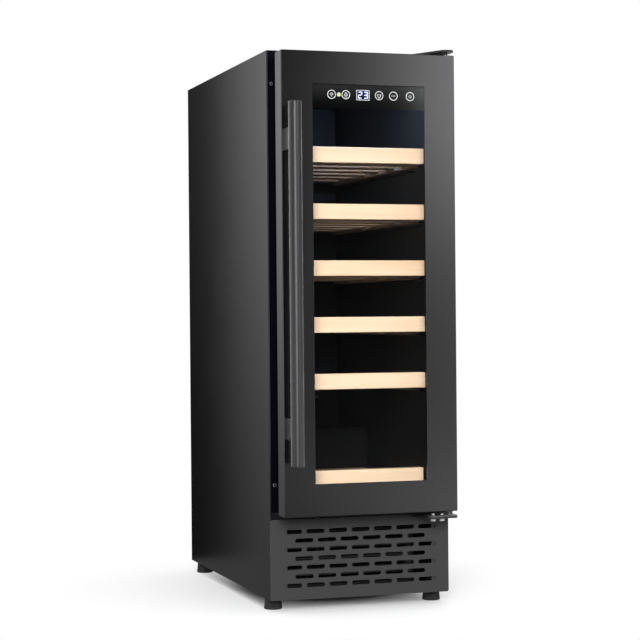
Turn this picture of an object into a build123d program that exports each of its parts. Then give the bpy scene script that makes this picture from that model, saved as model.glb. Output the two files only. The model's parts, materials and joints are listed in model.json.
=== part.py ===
"""Slim free-standing wine cooler with a hinged glass door, slatted shelves and a machine bay in its base."""

import os
from math import cos, radians, sin

from build123d import *

# Driving dimensions, in millimetres

# Overall cabinet
CABINET_W = 295.0
CABINET_D = 520.0
CABINET_H = 852.0
FOOT_H = 18.0

# Clearances
FIT = 0.2
RUN = 0.05
GLUE = 0.1

# Steel shell
PANEL_T = 1.0
BEND_R = 1.6
REAR_FLANGE = 14.0
REAR_T = 0.8
RAIL_D = 15.0
BAY_T = 0.8
TRAY_T = 1.2
TRAY_LIP = 14.0
TRAY_SETBACK = 14.0

# Insulated cavity
SIDE_WALL = 33.0
LINER_T = 2.0
LINER_R = 9.0
ROOF_T = 32.0
FLOOR_T = 34.7
BACK_T = 42.0
HUMP_D = 175.0
BAY_HEAD = 25.8
BAY_FOAM = 34.0
FOAM_GAP = 0.4

# Grille panel under the door
GRILLE_H = 125.3
GRILLE_T = 2.5
GRILLE_RIM = 10.0
GRILLE_R = 3.0
GRILLE_GAP = 0.5
SLOT_W = 30.0
SLOT_H = 6.7
SLOT_PITCH_X = 37.1
SLOT_PITCH_Z = 13.93
SLOT_COLS = 7
SLOT_ROWS = 7
SLOT_MIDDLE = 63.7
STRIP_INSET = 3.0
STRIP_T = 1.5

# Rear vent cover
COVER_GAP = 1.0
VENT_W = 70.0
VENT_H = 5.0
VENT_PITCH_X = 90.0
VENT_PITCH_Z = 22.0
VENT_COLS = 2
VENT_ROWS = 7

# Door
DOOR_REACH = 57.0
DOOR_SIDE_GAP = 6.3
DOOR_TOP_GAP = 6.3
DOOR_BOTTOM_GAP = 8.6
DOOR_SKIN_D = 31.0
DOOR_SKIN_T = 1.0
DOOR_R = 2.0
DOOR_BAR = 50.0
GLASS_T = 4.0
GLASS_LAP = 14.0
PANE_GAP = 12.0
SPACER_W = 6.0
SPACER_INSET = 2.0
LIP_T = 3.8
LIP_LAP = 6.0
INNER_REACH = 13.0
INNER_STEP = 7.2
GASKET_INSET = 9.7
GASKET_W = 11.5
GASKET_GAP = 0.4
GASKET_PINCH = 2.0
GASKET_BASE = 4.0
GASKET_HEAD = 3.6
GASKET_RIM = 2.3

# Controls behind the top of the front pane
BAND_H = 37.3
BAND_COVER = 1.5
PRINT_GAP = 0.5
CONTROL_Z = 16.6
CONTROL_SIDE = 6.2
CONTROL_WALL = 1.5
BOARD_T = 1.6
BOARD_DEPTH = 5.4
RING_R = 6.75
RING_WALL = 1.0
RING_X = (-60.3, -37.3, 17.0, 40.3, 67.3)
LAMP_X = -48.6
LAMP_R = 1.5
DISPLAY_X = -9.7
DISPLAY_W = 22.0
DISPLAY_H = 16.0

# Handle
HANDLE_R = 10.0
HANDLE_STANDOFF = 35.0
HANDLE_INSET = 11.2
HANDLE_BELOW = 80.1
HANDLE_ABOVE = 82.2
HANDLE_CHAMFER = 0.8
POST_W = 18.0
POST_H = 34.5
POST_INSET = 37.2
POST_R = 2.5
HANDLE_SCREW_R = 2.5
HANDLE_SCREW_HEAD_R = 4.5
HANDLE_SCREW_HEAD_H = 3.0
HANDLE_SCREW_BITE = 8.0

# Hinges
HINGE_INSET = 8.2
HINGE_Y = 42.0
PIN_R = 3.0
PIN_L = 18.0
PIN_SHOULDER_R = 5.0
BUSH_R = 4.5
BUSH_L = 20.0
BUSH_FLANGE_R = 6.5
BUSH_FLANGE_T = 1.5
HINGE_PLATE_T = 3.0
HINGE_END_R = 12.0
HINGE_BACK = 38.0
HINGE_BACK_W = 52.0
HINGE_BACK_START = 8.0
HINGE_SCREW_INSET = 12.0
HINGE_SCREW_BACK = 23.0
BRACKET_T = 2.5
PIVOT_T = 2.0
BRACKET_DROP = 2.8
BRACKET_W = 61.0
NOSE_W = 47.0
BRACKET_FRONT = 53.0
BRACKET_FLANGE_H = 20.0
BRACKET_R = 9.0
BRACKET_SCREW_INSET = (51.0, 7.0)
BRACKET_SCREW_RISE = 11.5
BRACKET_INSET = 2.5
PIVOT_D = 42.0
BOLT_INSET = (37.5, 22.7)
BOLT_Y = 38.0
BOLT_R = 2.5
BOLT_HEAD_R = 4.2
BOLT_HEAD_H = 5.3
BOLT_TIP = 2.6
SCREW_R = 2.0
SCREW_HEAD_R = 4.2
SCREW_HEAD_H = 2.4
FLANGE_SCREW_HEAD_R = 3.25
FLANGE_SCREW_HEAD_H = 1.6
FLANGE_SCREW_INSET = 7.1
FLANGE_SCREW_TOP = 51.7
FLANGE_SCREW_RISE = 19.3

# Shelves
SHELF_RISE = (545.0, 456.2, 367.4, 278.6, 189.8, 37.3)
SHELF_FRONTS = (5.0, 5.0, 5.0, 5.0, 5.0, 17.0)
SHELF_SIDE_GAP = 2.5
FASCIA_H = 24.5
FASCIA_T = 18.0
FASCIA_R = 2.0
SLAT_T = 10.0
SLAT_DROP = 20.0
SLAT_W = 34.0
SLAT_GAP = 30.0
SIDE_RAIL_W = 18.0
SHELF_REAR_GAP = 13.0
RUNNER_T = 2.5
RUNNER_WEB = 1.4
RUNNER_LEDGE = 10.0
RUNNER_PLAY = 0.4
RUNNER_SETBACK = 3.0

# Light under the ceiling
LIGHT_W = 150.0
LIGHT_D = 36.0
LIGHT_H = 9.0
LIGHT_WALL = 1.5
LIGHT_R = 9.0
LIGHT_SETBACK = 26.0
LED_W = 130.0
LED_D = 20.0
LED_COUNT = 8
LED_CHIP = 5.0

# Air duct, evaporator and its fan
DUCT_D = 45.0
DUCT_WALL = 2.5
DUCT_SIDE_GAP = 10.0
DUCT_TOP_GAP = 8.0
DUCT_SLOT_W = 140.0
DUCT_SLOT_H = 6.0
DUCT_SLOT_PITCH = 14.0
DUCT_SLOT_ROWS = 4
DUCT_SLOT_RISE = 30.0
DUCT_FAN_SLOTS = 9
EVAPORATOR_GAP = 7.0
EVAPORATOR_HEADER = 14.0
EVAPORATOR_H = 250.0
EVAPORATOR_D = 28.0
EVAPORATOR_RISE = 40.0
EVAPORATOR_FINS = 15
EVAPORATOR_WEB = 6.0
EVAPORATOR_FIN_T = 2.0
COOL_FAN_W = 80.0
COOL_FAN_D = 20.0
COOL_FAN_DROP = 90.0

# Machine bay
COMPRESSOR_X = 20.0
COMPRESSOR_BACK = 90.0
COMPRESSOR_R = 62.0
COMPRESSOR_H = 146.0
SEAM_RISE = 70.0
SEAM_H = 6.0
SEAM_LIP = 4.0
SHELL_CURVE = 16.0
SHOULDER_R = 26.0
SHOULDER_TURN = 60.0
FOOT_PLATE_W = 168.0
FOOT_PLATE_D = 112.0
FOOT_PLATE_T = 3.0
FOOT_PLATE_R = 12.0
GROMMET_X = 70.0
GROMMET_Y = 42.0
GROMMET_R = 10.0
GROMMET_WAIST = 7.0
GROMMET_H = 12.0
GROMMET_COLLAR = 3.0
STUD_R = 3.0
STUD_TOP = 8.0
STUB_R = 3.5
STUB_L = 10.0
DISCHARGE_RISE = 58.0
SUCTION_X = 30.0
SUCTION_RISE = 20.0
TERMINAL_W = 50.0
TERMINAL_H = 50.0
TERMINAL_D = 28.0
TERMINAL_RISE = 12.0
TERMINAL_R = 4.0
CONDENSER_SETBACK = 70.0
CONDENSER_GAP = 35.0
CONDENSER_D = 22.0
CONDENSER_H = 104.0
CONDENSER_TUBES = 11
CONDENSER_TUBE_T = 3.0
HEADER_R = 9.0
WARM_FAN_W = 92.0
WARM_FAN_D = 25.0
PIPE_R = 3.0
PIPE_BEND = 12.0
CAPILLARY_R = 1.5
PIPE_INSET = 12.5
SUCTION_BEND = 8.0
SUCTION_DROP = 14.0
CAPILLARY_TURN = 120.0
LIQUID_RISE = 14.8
DRIER_R = 9.0
DRIER_L = 70.0
DRIER_NECK = 12.0
DRIER_START = 150.0
PIPE_BACK = 20.0
PIPE_HOLE = 1.0
DRIP_W = 110.0
DRIP_D = 110.0
DRIP_H = 26.0
DRIP_WALL = 2.0
DRIP_SETBACK = 178.0
DRIP_R = 8.0
DRAIN_R = 5.0
DRAIN_BORE = 3.5
DRAIN_FLANGE_R = 9.0
DRAIN_FLANGE_T = 1.5
DRAIN_LIFT = 8.0
POWER_W = 56.0
POWER_D = 120.0
POWER_H = 58.0
POWER_WALL = 2.0
POWER_R = 3.0
POWER_SETBACK = 175.0
POWER_GAP = 4.0
GLAND_R = 7.0
GLAND_BORE = 4.0
GLAND_FLANGE_R = 11.0
GLAND_FLANGE_T = 3.0
GLAND_L = 12.0
GLAND_INSET = 42.5
GLAND_RISE = 30.0

# Fans
FAN_RIM = 3.0
FAN_CORNER = 5.0
FAN_SPIDER_T = 3.0
FAN_SPOKE_W = 6.0
FAN_SPOKES = 4
FAN_SPOKE_TURN = 45.0
FAN_MOTOR_R = 15.0
FAN_BEARING_R = 5.0
FAN_BEARING_L = 8.0
FAN_SHAFT_R = 2.0
FAN_HUB_R = 17.0
FAN_HUB_WALL = 2.0
FAN_BLADES = 7
FAN_BLADE_T = 1.6
FAN_TIP_GAP = 2.0
FAN_ROOT_PITCH = 40.0
FAN_TIP_PITCH = 58.0
FAN_GAP = 1.5

# Levelling feet
FOOT_R = 14.5
FOOT_TOP_R = 12.8
FOOT_EDGE = 2.0
FOOT_INSET_X = 15.0
FOOT_INSET_Y = 40.0
FOOT_STOP_GAP = 0.3
FOOT_STUD_R = 4.0
FOOT_STUD_L = 32.0
FOOT_BOSS_R = 8.0
FOOT_BOSS_H = 20.0

# Planes and levels that follow from the driving dimensions

HALF_W = CABINET_W / 2
HANDLE_REACH = HANDLE_STANDOFF + HANDLE_R
Y_F = (DOOR_REACH + HANDLE_REACH - CABINET_D) / 2
Y_B = Y_F + CABINET_D
Z_BASE = FOOT_H
Z_TOP = Z_BASE + CABINET_H
Z_GRILLE = Z_BASE + GRILLE_H
Z_RAIL = Z_GRILLE + GRILLE_GAP
Z_FLOOR = Z_GRILLE + FLOOR_T
Z_CEIL = Z_TOP - ROOF_T
Z_TRAY = Z_BASE + TRAY_T
Z_PLATE = Z_TRAY + GROMMET_H
Z_SHELL = Z_PLATE + FOOT_PLATE_T
SUCTION_TOP = Z_SHELL + COMPRESSOR_H + SUCTION_RISE
Z_BAY = SUCTION_TOP + BAY_HEAD
Z_HUMP = Z_BAY + BAY_FOAM + LINER_T
CAV = HALF_W - SIDE_WALL
FLANGE_X = CAV + LINER_T + FIT
INSIDE_X = HALF_W - PANEL_T - FIT
Y_REAR = Y_B - BACK_T
Y_HUMP = Y_REAR - HUMP_D
Y_WALL = Y_HUMP + LINER_T + BAY_FOAM
Y_REAR_PANEL = Y_B - PANEL_T - FIT - REAR_T

DOOR_X = HALF_W - DOOR_SIDE_GAP
DOOR_Z0 = Z_GRILLE + DOOR_BOTTOM_GAP
DOOR_Z1 = Z_TOP - DOOR_TOP_GAP
DOOR_Y = Y_F - DOOR_REACH
WIN_X = DOOR_X - DOOR_BAR
WIN_Z0 = DOOR_Z0 + DOOR_BAR
WIN_Z1 = DOOR_Z1 - DOOR_BAR
PANE_X = WIN_X + GLASS_LAP
PANE_Z0 = WIN_Z0 - GLASS_LAP
PANE_Z1 = WIN_Z1 + GLASS_LAP
PANE_Y = DOOR_Y + DOOR_SKIN_T + GLUE
SPACER_Y = PANE_Y + GLASS_T
INNER_PANE_Y = SPACER_Y + PANE_GAP
LIP_Y = INNER_PANE_Y + GLASS_T + FIT
BAND_Z = WIN_Z1 - BAND_H
INNER_PANE_Z1 = BAND_Z + BAND_COVER + SPACER_INSET + SPACER_W
SKIN_BACK = DOOR_Y + DOOR_SKIN_D
INNER_BACK = Y_F - INNER_REACH
CONTROL_X = WIN_X - CONTROL_SIDE
HINGE_X = DOOR_X - HINGE_INSET
PIN_Y = Y_F - HINGE_Y

COMPRESSOR_Y = Y_B - COMPRESSOR_BACK
PIPE_Y = Y_REAR - PIPE_BACK
DUCT_Y = Y_REAR - DUCT_D
EVAPORATOR_Z = Z_HUMP + EVAPORATOR_RISE
CONDENSER_Y = Y_F + CONDENSER_SETBACK
WARM_FAN_Y = CONDENSER_Y + CONDENSER_D + FIT
WARM_FAN_Z = Z_TRAY + FIT + WARM_FAN_W / 2
COOL_FAN_Y = DUCT_Y + DUCT_WALL + FIT
COOL_FAN_Z = Z_CEIL - DUCT_TOP_GAP - COOL_FAN_DROP
DRAIN_Y = Y_F + DRIP_SETBACK + DRIP_D / 2
FOOT_X = HALF_W - FOOT_INSET_X
FOOT_PLACES = [(x, y) for y in (Y_F + FOOT_INSET_Y, Y_B - FOOT_INSET_Y) for x in (-FOOT_X, FOOT_X)]
GROMMET_PLACES = [
    (COMPRESSOR_X + x, COMPRESSOR_Y + y) for y in (-GROMMET_Y, GROMMET_Y) for x in (-GROMMET_X, GROMMET_X)
]
CROWN_R = SHOULDER_R + (COMPRESSOR_R - SHOULDER_R) / cos(radians(SHOULDER_TURN))
DOME_H = SHOULDER_R * sin(radians(SHOULDER_TURN)) + CROWN_R * (1 - sin(radians(SHOULDER_TURN)))
DISCHARGE_Z = Z_SHELL + DISCHARGE_RISE
DRAIN_END = Z_TRAY + FIT + DRIP_WALL + DRAIN_LIFT
DUCT_X = CAV - DUCT_SIDE_GAP
EVAPORATOR_W = 2 * (DUCT_X - DUCT_WALL - EVAPORATOR_GAP)
PIPE_X = (EVAPORATOR_W - EVAPORATOR_HEADER) / 2
SHELF_TOPS = [Z_FLOOR + rise for rise in SHELF_RISE]
LIGHT_Y = Y_F + LIGHT_SETBACK + LIGHT_D / 2
RACK_X = CAV - FIT - RUNNER_WEB - RUNNER_PLAY
FASCIA_X = CAV - SHELF_SIDE_GAP
FLANGE_SCREW_X = HALF_W - FLANGE_SCREW_INSET
FLANGE_SCREW_Z = (Z_FLOOR + FLANGE_SCREW_RISE, Z_TOP - FLANGE_SCREW_TOP)
Z_BRACKET = Z_GRILLE - BRACKET_DROP
Z_PIVOT = Z_BRACKET + BRACKET_T
BRACKET_SCREW_Z = Z_BRACKET + BRACKET_SCREW_RISE
BRACKET_X = HALF_W - BRACKET_INSET
BRACKET_LEFT = BRACKET_X - BRACKET_W
BRACKET_NOSE = BRACKET_X - NOSE_W
BRACKET_SCREW_X = [BRACKET_X - inset for inset in BRACKET_SCREW_INSET]
BOLT_X = [BRACKET_X - inset for inset in BOLT_INSET]
HINGE_BACK_X = BRACKET_X - HINGE_BACK_W
HINGE_SCREW_X = (HINGE_BACK_X + HINGE_SCREW_INSET, BRACKET_X - HINGE_SCREW_INSET)
HINGE_SCREW_Y = Y_F + HINGE_SCREW_BACK
PIPE_SIDE = HALF_W - PIPE_INSET
CONDENSER_W = 2 * (PIPE_SIDE - CONDENSER_GAP)
HEADER_X = CONDENSER_W / 2 + HEADER_R
LIQUID_Z = Z_TRAY + LIQUID_RISE
GLAND_X = GLAND_INSET - HALF_W
GLAND_Z = Z_BASE + GLAND_RISE
DRIER_END = Y_F + DRIER_START + 2 * DRIER_NECK + DRIER_L
POWER_X = INSIDE_X - TRAY_T - POWER_GAP
RECESS_X = DOOR_X - GASKET_INSET - GASKET_W - GASKET_RIM
RECESS_Z0 = DOOR_Z0 + GASKET_INSET + GASKET_W + GASKET_RIM
RECESS_Z1 = DOOR_Z1 - GASKET_INSET - GASKET_W - GASKET_RIM
POST_REACH = HANDLE_STANDOFF - (HANDLE_R**2 - (POST_W / 2) ** 2) ** 0.5
FOOT_NAMES = ("front_left", "front_right", "rear_left", "rear_right")
HANDLE_X = HANDLE_INSET - DOOR_X
HANDLE_Y = DOOR_Y - HANDLE_STANDOFF
HANDLE_Z = DOOR_Z0 + HANDLE_BELOW
HANDLE_L = DOOR_Z1 - HANDLE_ABOVE - HANDLE_Z
POST_Z = (HANDLE_Z + POST_INSET + POST_H / 2, HANDLE_Z + HANDLE_L - POST_INSET - POST_H / 2)

# Directions
UP = (0, 0, 1)
DOWN = (0, 0, -1)
FORWARD = (0, -1, 0)
BACKWARD = (0, 1, 0)
LEFTWARD = (-1, 0, 0)

os.makedirs("parts", exist_ok=True)


def front_plane(y):
    """Sketch plane at depth y that faces the front, with X across and Z up."""
    return Plane(origin=(0, y, 0), x_dir=(1, 0, 0), z_dir=(0, -1, 0))


def side_plane(x):
    """Sketch plane at x that faces the right, with Y across and Z up."""
    return Plane(origin=(x, 0, 0), x_dir=(0, 1, 0), z_dir=(1, 0, 0))


def block(x0, x1, y0, y1, z0, z1, mode=Mode.ADD):
    """Rectangular block between three pairs of limits."""
    with Locations(((x0 + x1) / 2, (y0 + y1) / 2, (z0 + z1) / 2)):
        Box(x1 - x0, y1 - y0, z1 - z0, mode=mode)


def area(x0, x1, z0, z1, mode=Mode.ADD):
    """Rectangle in a sketch between two pairs of limits."""
    with Locations(((x0 + x1) / 2, (z0 + z1) / 2)):
        Rectangle(x1 - x0, z1 - z0, mode=mode)


def ring(y0, y1, outer, inner, mode=Mode.ADD):
    """Upright rectangular ring from y0 to y1; outer and inner are (half width, bottom, top)."""
    with BuildSketch(front_plane(y1)) as face:
        area(-outer[0], outer[0], outer[1], outer[2])
        area(-inner[0], inner[0], inner[1], inner[2], mode=Mode.SUBTRACT)
    extrude(face.sketch, amount=y1 - y0, mode=mode)


def rod(start, direction, radius, length, mode=Mode.ADD):
    """Round rod from a point along a direction."""
    with BuildSketch(Plane(origin=start, z_dir=direction)) as face:
        Circle(radius)
    extrude(face.sketch, amount=length, mode=mode)


def pipe(points, radius, bend):
    """Bent tube along straight runs joined by arcs."""
    with BuildLine() as path:
        FilletPolyline(*points, radius=bend)
    with BuildSketch(Plane(origin=path.line @ 0, z_dir=path.line % 0)) as section:
        Circle(radius)
    sweep(section.sketch, path=path.line)


def shelf_end(shelf_top):
    """Rear end of a shelf's rack: in front of the air duct, or of the step where the shelf is lower."""
    wall = Y_HUMP if shelf_top - SLAT_DROP - SLAT_T < Z_HUMP else DUCT_Y
    return wall - SHELF_REAR_GAP


def write(piece, name):
    """Label a finished piece and write it to its own file."""
    piece.label = name
    export_step(piece, f"parts/{name}.step")


# Cabinet shell

# Side panels: one sheet each, folded at the front into the sealing flange and at the rear
for side_name in ("left", "right"):
    with BuildPart() as side_panel:
        with BuildSketch(Plane.XY.offset(Z_BASE)):
            with BuildLine():
                FilletPolyline(
                    (FLANGE_X, Y_F),
                    (HALF_W, Y_F),
                    (HALF_W, Y_B),
                    (HALF_W - REAR_FLANGE, Y_B),
                    radius=BEND_R,
                )
                offset(amount=PANEL_T, side=Side.LEFT)
            make_face()
        extrude(amount=CABINET_H)
        block(0, HALF_W, Y_F, Y_F + GRILLE_T + FIT, Z_BASE, Z_RAIL, mode=Mode.SUBTRACT)
        for screw_z in FLANGE_SCREW_Z:
            rod((FLANGE_SCREW_X, Y_F, screw_z), BACKWARD, SCREW_R + RUN, PANEL_T, mode=Mode.SUBTRACT)
        if side_name == "left":
            mirror(about=Plane.YZ, mode=Mode.REPLACE)
        else:
            for screw_x in BRACKET_SCREW_X:
                rod((screw_x, Y_F, BRACKET_SCREW_Z), BACKWARD, SCREW_R + RUN, PANEL_T, mode=Mode.SUBTRACT)
    write(side_panel.part, f"{side_name}_side_panel")

# Top panel, with its front edge folded down into the sealing flange
with BuildPart() as top_panel:
    with BuildSketch(side_plane(-INSIDE_X)):
        with BuildLine():
            FilletPolyline(
                (Y_F, Z_CEIL + LINER_T + FIT),
                (Y_F, Z_TOP),
                (Y_REAR_PANEL + REAR_T, Z_TOP),
                radius=BEND_R,
            )
            offset(amount=PANEL_T, side=Side.RIGHT)
        make_face()
    extrude(amount=2 * INSIDE_X)
    for corner in (-1, 1):
        near, far = sorted((corner * (FLANGE_X - FIT), corner * HALF_W))
        block(near, far, Y_F, Y_F + PANEL_T + FIT, Z_CEIL, Z_TOP, mode=Mode.SUBTRACT)
    for screw_x in HINGE_SCREW_X:
        rod((screw_x, HINGE_SCREW_Y, Z_TOP), DOWN, SCREW_R + RUN, PANEL_T, mode=Mode.SUBTRACT)
write(top_panel.part, "top_panel")

# Rear panel behind the foam
with BuildPart() as rear_panel:
    block(-INSIDE_X, INSIDE_X, Y_REAR_PANEL, Y_REAR_PANEL + REAR_T, Z_BAY, Z_TOP - PANEL_T - FIT)
write(rear_panel.part, "rear_panel")

# Channel across the front between the cavity and the grille
with BuildPart() as lower_cross_rail:
    with BuildSketch(side_plane(FIT - FLANGE_X)):
        with BuildLine():
            FilletPolyline(
                (Y_F + RAIL_D, Z_FLOOR - LINER_T - FIT),
                (Y_F, Z_FLOOR - LINER_T - FIT),
                (Y_F, Z_RAIL),
                (Y_F + RAIL_D, Z_RAIL),
                radius=BEND_R,
            )
            offset(amount=PANEL_T, side=Side.LEFT)
        make_face()
    extrude(amount=2 * (FLANGE_X - FIT))
    for screw_x in BRACKET_SCREW_X:
        rod((screw_x, Y_F, BRACKET_SCREW_Z), BACKWARD, SCREW_R + RUN, PANEL_T, mode=Mode.SUBTRACT)
write(lower_cross_rail.part, "lower_cross_rail")

# Folded plate that closes the machine bay off from the foam
with BuildPart() as bay_plate:
    with BuildSketch(side_plane(-INSIDE_X)):
        with BuildLine():
            FilletPolyline(
                (Y_F + RAIL_D + FIT, Z_RAIL),
                (Y_WALL, Z_RAIL),
                (Y_WALL, Z_BAY),
                (Y_REAR_PANEL - FIT, Z_BAY),
                radius=BEND_R,
            )
            offset(amount=BAY_T, side=Side.LEFT)
        make_face()
    extrude(amount=2 * INSIDE_X)
    rod((0, DRAIN_Y, Z_FLOOR), DOWN, DRAIN_R + FIT, Z_FLOOR - Z_BASE, mode=Mode.SUBTRACT)
    rod((PIPE_X, PIPE_Y, Z_HUMP), DOWN, PIPE_R + PIPE_HOLE, Z_HUMP - Z_RAIL, mode=Mode.SUBTRACT)
    rod((-PIPE_X, PIPE_Y, Z_HUMP), DOWN, CAPILLARY_R + PIPE_HOLE, Z_HUMP - Z_RAIL, mode=Mode.SUBTRACT)
write(bay_plate.part, "bay_plate")

# Base tray with bosses for the feet and studs for the compressor
with BuildPart() as base_tray:
    block(-INSIDE_X, INSIDE_X, Y_F + TRAY_SETBACK, Y_REAR_PANEL - FIT, Z_BASE, Z_BASE + TRAY_LIP)
    block(
        TRAY_T - INSIDE_X,
        INSIDE_X - TRAY_T,
        Y_F + TRAY_SETBACK + TRAY_T,
        Y_REAR_PANEL - FIT - TRAY_T,
        Z_TRAY,
        Z_BASE + TRAY_LIP,
        mode=Mode.SUBTRACT,
    )
    for foot_x, foot_y in FOOT_PLACES:
        rod((foot_x, foot_y, Z_BASE), UP, FOOT_BOSS_R, TRAY_T + FOOT_BOSS_H)
        rod((foot_x, foot_y, Z_BASE), UP, FOOT_STUD_R + RUN, TRAY_T + FOOT_BOSS_H, mode=Mode.SUBTRACT)
    for stud_x, stud_y in GROMMET_PLACES:
        rod((stud_x, stud_y, Z_BASE), UP, STUD_R, TRAY_T + GROMMET_H + FOOT_PLATE_T + STUD_TOP)
write(base_tray.part, "base_tray")

# Grille panel: a shallow tray with staggered rows of round-ended slots and a strip behind each end
with BuildPart() as front_grille:
    with BuildSketch(front_plane(Y_F + GRILLE_T)):
        with Locations((0, Z_BASE + GRILLE_H / 2)):
            RectangleRounded(CABINET_W, GRILLE_H, GRILLE_R)
        for row in range(SLOT_ROWS):
            columns = SLOT_COLS - row % 2
            row_z = Z_BASE + SLOT_MIDDLE + (row - (SLOT_ROWS - 1) / 2) * SLOT_PITCH_Z
            with Locations((0, row_z)):
                with GridLocations(SLOT_PITCH_X, SLOT_PITCH_Z, columns, 1):
                    SlotOverall(SLOT_W, SLOT_H, mode=Mode.SUBTRACT)
    extrude(amount=GRILLE_T)
    ring(
        Y_F + GRILLE_T,
        Y_F + GRILLE_RIM,
        (INSIDE_X, Z_BASE + GRILLE_R, Z_GRILLE - GRILLE_R),
        (INSIDE_X - GRILLE_T, Z_BASE + GRILLE_R + GRILLE_T, Z_GRILLE - GRILLE_R - GRILLE_T),
    )
    for side in (-1, 1):
        near, far = sorted((side * (FLANGE_X + STRIP_INSET), side * (INSIDE_X - GRILLE_T)))
        block(
            near,
            far,
            Y_F + GRILLE_T,
            Y_F + GRILLE_T + STRIP_T,
            Z_BASE + GRILLE_R + GRILLE_T,
            Z_GRILLE - GRILLE_R - GRILLE_T,
        )
write(front_grille.part, "front_grille")

# Rear cover of the machine bay, with air slots and a hole for the cord gland
with BuildPart() as rear_vent_cover:
    with BuildSketch(front_plane(Y_REAR_PANEL + REAR_T)):
        area(-INSIDE_X, INSIDE_X, Z_BASE + COVER_GAP, Z_BAY - COVER_GAP)
        with Locations((0, (Z_BASE + Z_BAY) / 2)):
            with GridLocations(VENT_PITCH_X, VENT_PITCH_Z, VENT_COLS, VENT_ROWS):
                Rectangle(VENT_W, VENT_H, mode=Mode.SUBTRACT)
        with Locations((GLAND_X, GLAND_Z)):
            Circle(GLAND_R + GLUE, mode=Mode.SUBTRACT)
    extrude(amount=REAR_T)
write(rear_vent_cover.part, "rear_vent_cover")

# Inner liner: a thin tub, open at the front, with a step over the machine bay
with BuildPart() as cavity_space:
    with BuildSketch(side_plane(-CAV)):
        with BuildLine():
            Polyline(
                (Y_F, Z_FLOOR),
                (Y_HUMP, Z_FLOOR),
                (Y_HUMP, Z_HUMP),
                (Y_REAR, Z_HUMP),
                (Y_REAR, Z_CEIL),
                (Y_F, Z_CEIL),
                close=True,
            )
        make_face()
    extrude(amount=2 * CAV)
    fillet(cavity_space.edges().filter_by(Axis.Z).group_by(Axis.Y)[-1], LINER_R)

with BuildPart() as inner_liner:
    with BuildSketch(side_plane(-CAV - LINER_T)):
        with BuildLine():
            Polyline(
                (Y_F, Z_FLOOR - LINER_T),
                (Y_HUMP + LINER_T, Z_FLOOR - LINER_T),
                (Y_HUMP + LINER_T, Z_HUMP - LINER_T),
                (Y_REAR + LINER_T, Z_HUMP - LINER_T),
                (Y_REAR + LINER_T, Z_CEIL + LINER_T),
                (Y_F, Z_CEIL + LINER_T),
                close=True,
            )
        make_face()
    extrude(amount=2 * (CAV + LINER_T))
    fillet(inner_liner.edges().filter_by(Axis.Z).group_by(Axis.Y)[-1], LINER_R + LINER_T)
    add(cavity_space.part, mode=Mode.SUBTRACT)
    rod((0, DRAIN_Y, Z_FLOOR), DOWN, DRAIN_R + FIT, LINER_T, mode=Mode.SUBTRACT)
    rod((PIPE_X, PIPE_Y, Z_HUMP), DOWN, PIPE_R + PIPE_HOLE, LINER_T, mode=Mode.SUBTRACT)
    rod((-PIPE_X, PIPE_Y, Z_HUMP), DOWN, CAPILLARY_R + PIPE_HOLE, LINER_T, mode=Mode.SUBTRACT)
write(inner_liner.part, "inner_liner")

# Foam between the liner and the shell
with BuildPart() as insulation_foam:
    with BuildSketch(side_plane(-INSIDE_X)):
        with BuildLine():
            Polyline(
                (Y_F + RAIL_D + FIT, Z_RAIL + BAY_T + FOAM_GAP),
                (Y_WALL - BAY_T - FOAM_GAP, Z_RAIL + BAY_T + FOAM_GAP),
                (Y_WALL - BAY_T - FOAM_GAP, Z_BAY + BAY_T + FOAM_GAP),
                (Y_REAR_PANEL - FIT, Z_BAY + BAY_T + FOAM_GAP),
                (Y_REAR_PANEL - FIT, Z_TOP - PANEL_T - FIT),
                (Y_F + PANEL_T + FIT, Z_TOP - PANEL_T - FIT),
                (Y_F + PANEL_T + FIT, Z_FLOOR - LINER_T),
                (Y_F + RAIL_D + FIT, Z_FLOOR - LINER_T),
                close=True,
            )
        make_face()
    extrude(amount=2 * INSIDE_X)
    with BuildSketch(side_plane(-FLANGE_X)):
        with BuildLine():
            Polyline(
                (Y_F, Z_FLOOR - LINER_T - FIT),
                (Y_HUMP + LINER_T + FIT, Z_FLOOR - LINER_T - FIT),
                (Y_HUMP + LINER_T + FIT, Z_HUMP - LINER_T - FIT),
                (Y_REAR + LINER_T + FIT, Z_HUMP - LINER_T - FIT),
                (Y_REAR + LINER_T + FIT, Z_CEIL + LINER_T + FIT),
                (Y_F, Z_CEIL + LINER_T + FIT),
                close=True,
            )
        make_face()
    extrude(amount=2 * FLANGE_X, mode=Mode.SUBTRACT)
    rod((0, DRAIN_Y, Z_FLOOR), DOWN, DRAIN_R + FIT, FLOOR_T, mode=Mode.SUBTRACT)
    rod((PIPE_X, PIPE_Y, Z_HUMP), DOWN, PIPE_R + PIPE_HOLE, Z_HUMP - Z_RAIL, mode=Mode.SUBTRACT)
    rod((-PIPE_X, PIPE_Y, Z_HUMP), DOWN, CAPILLARY_R + PIPE_HOLE, Z_HUMP - Z_RAIL, mode=Mode.SUBTRACT)
write(insulation_foam.part, "insulation_foam")

# Interior fittings

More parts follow.
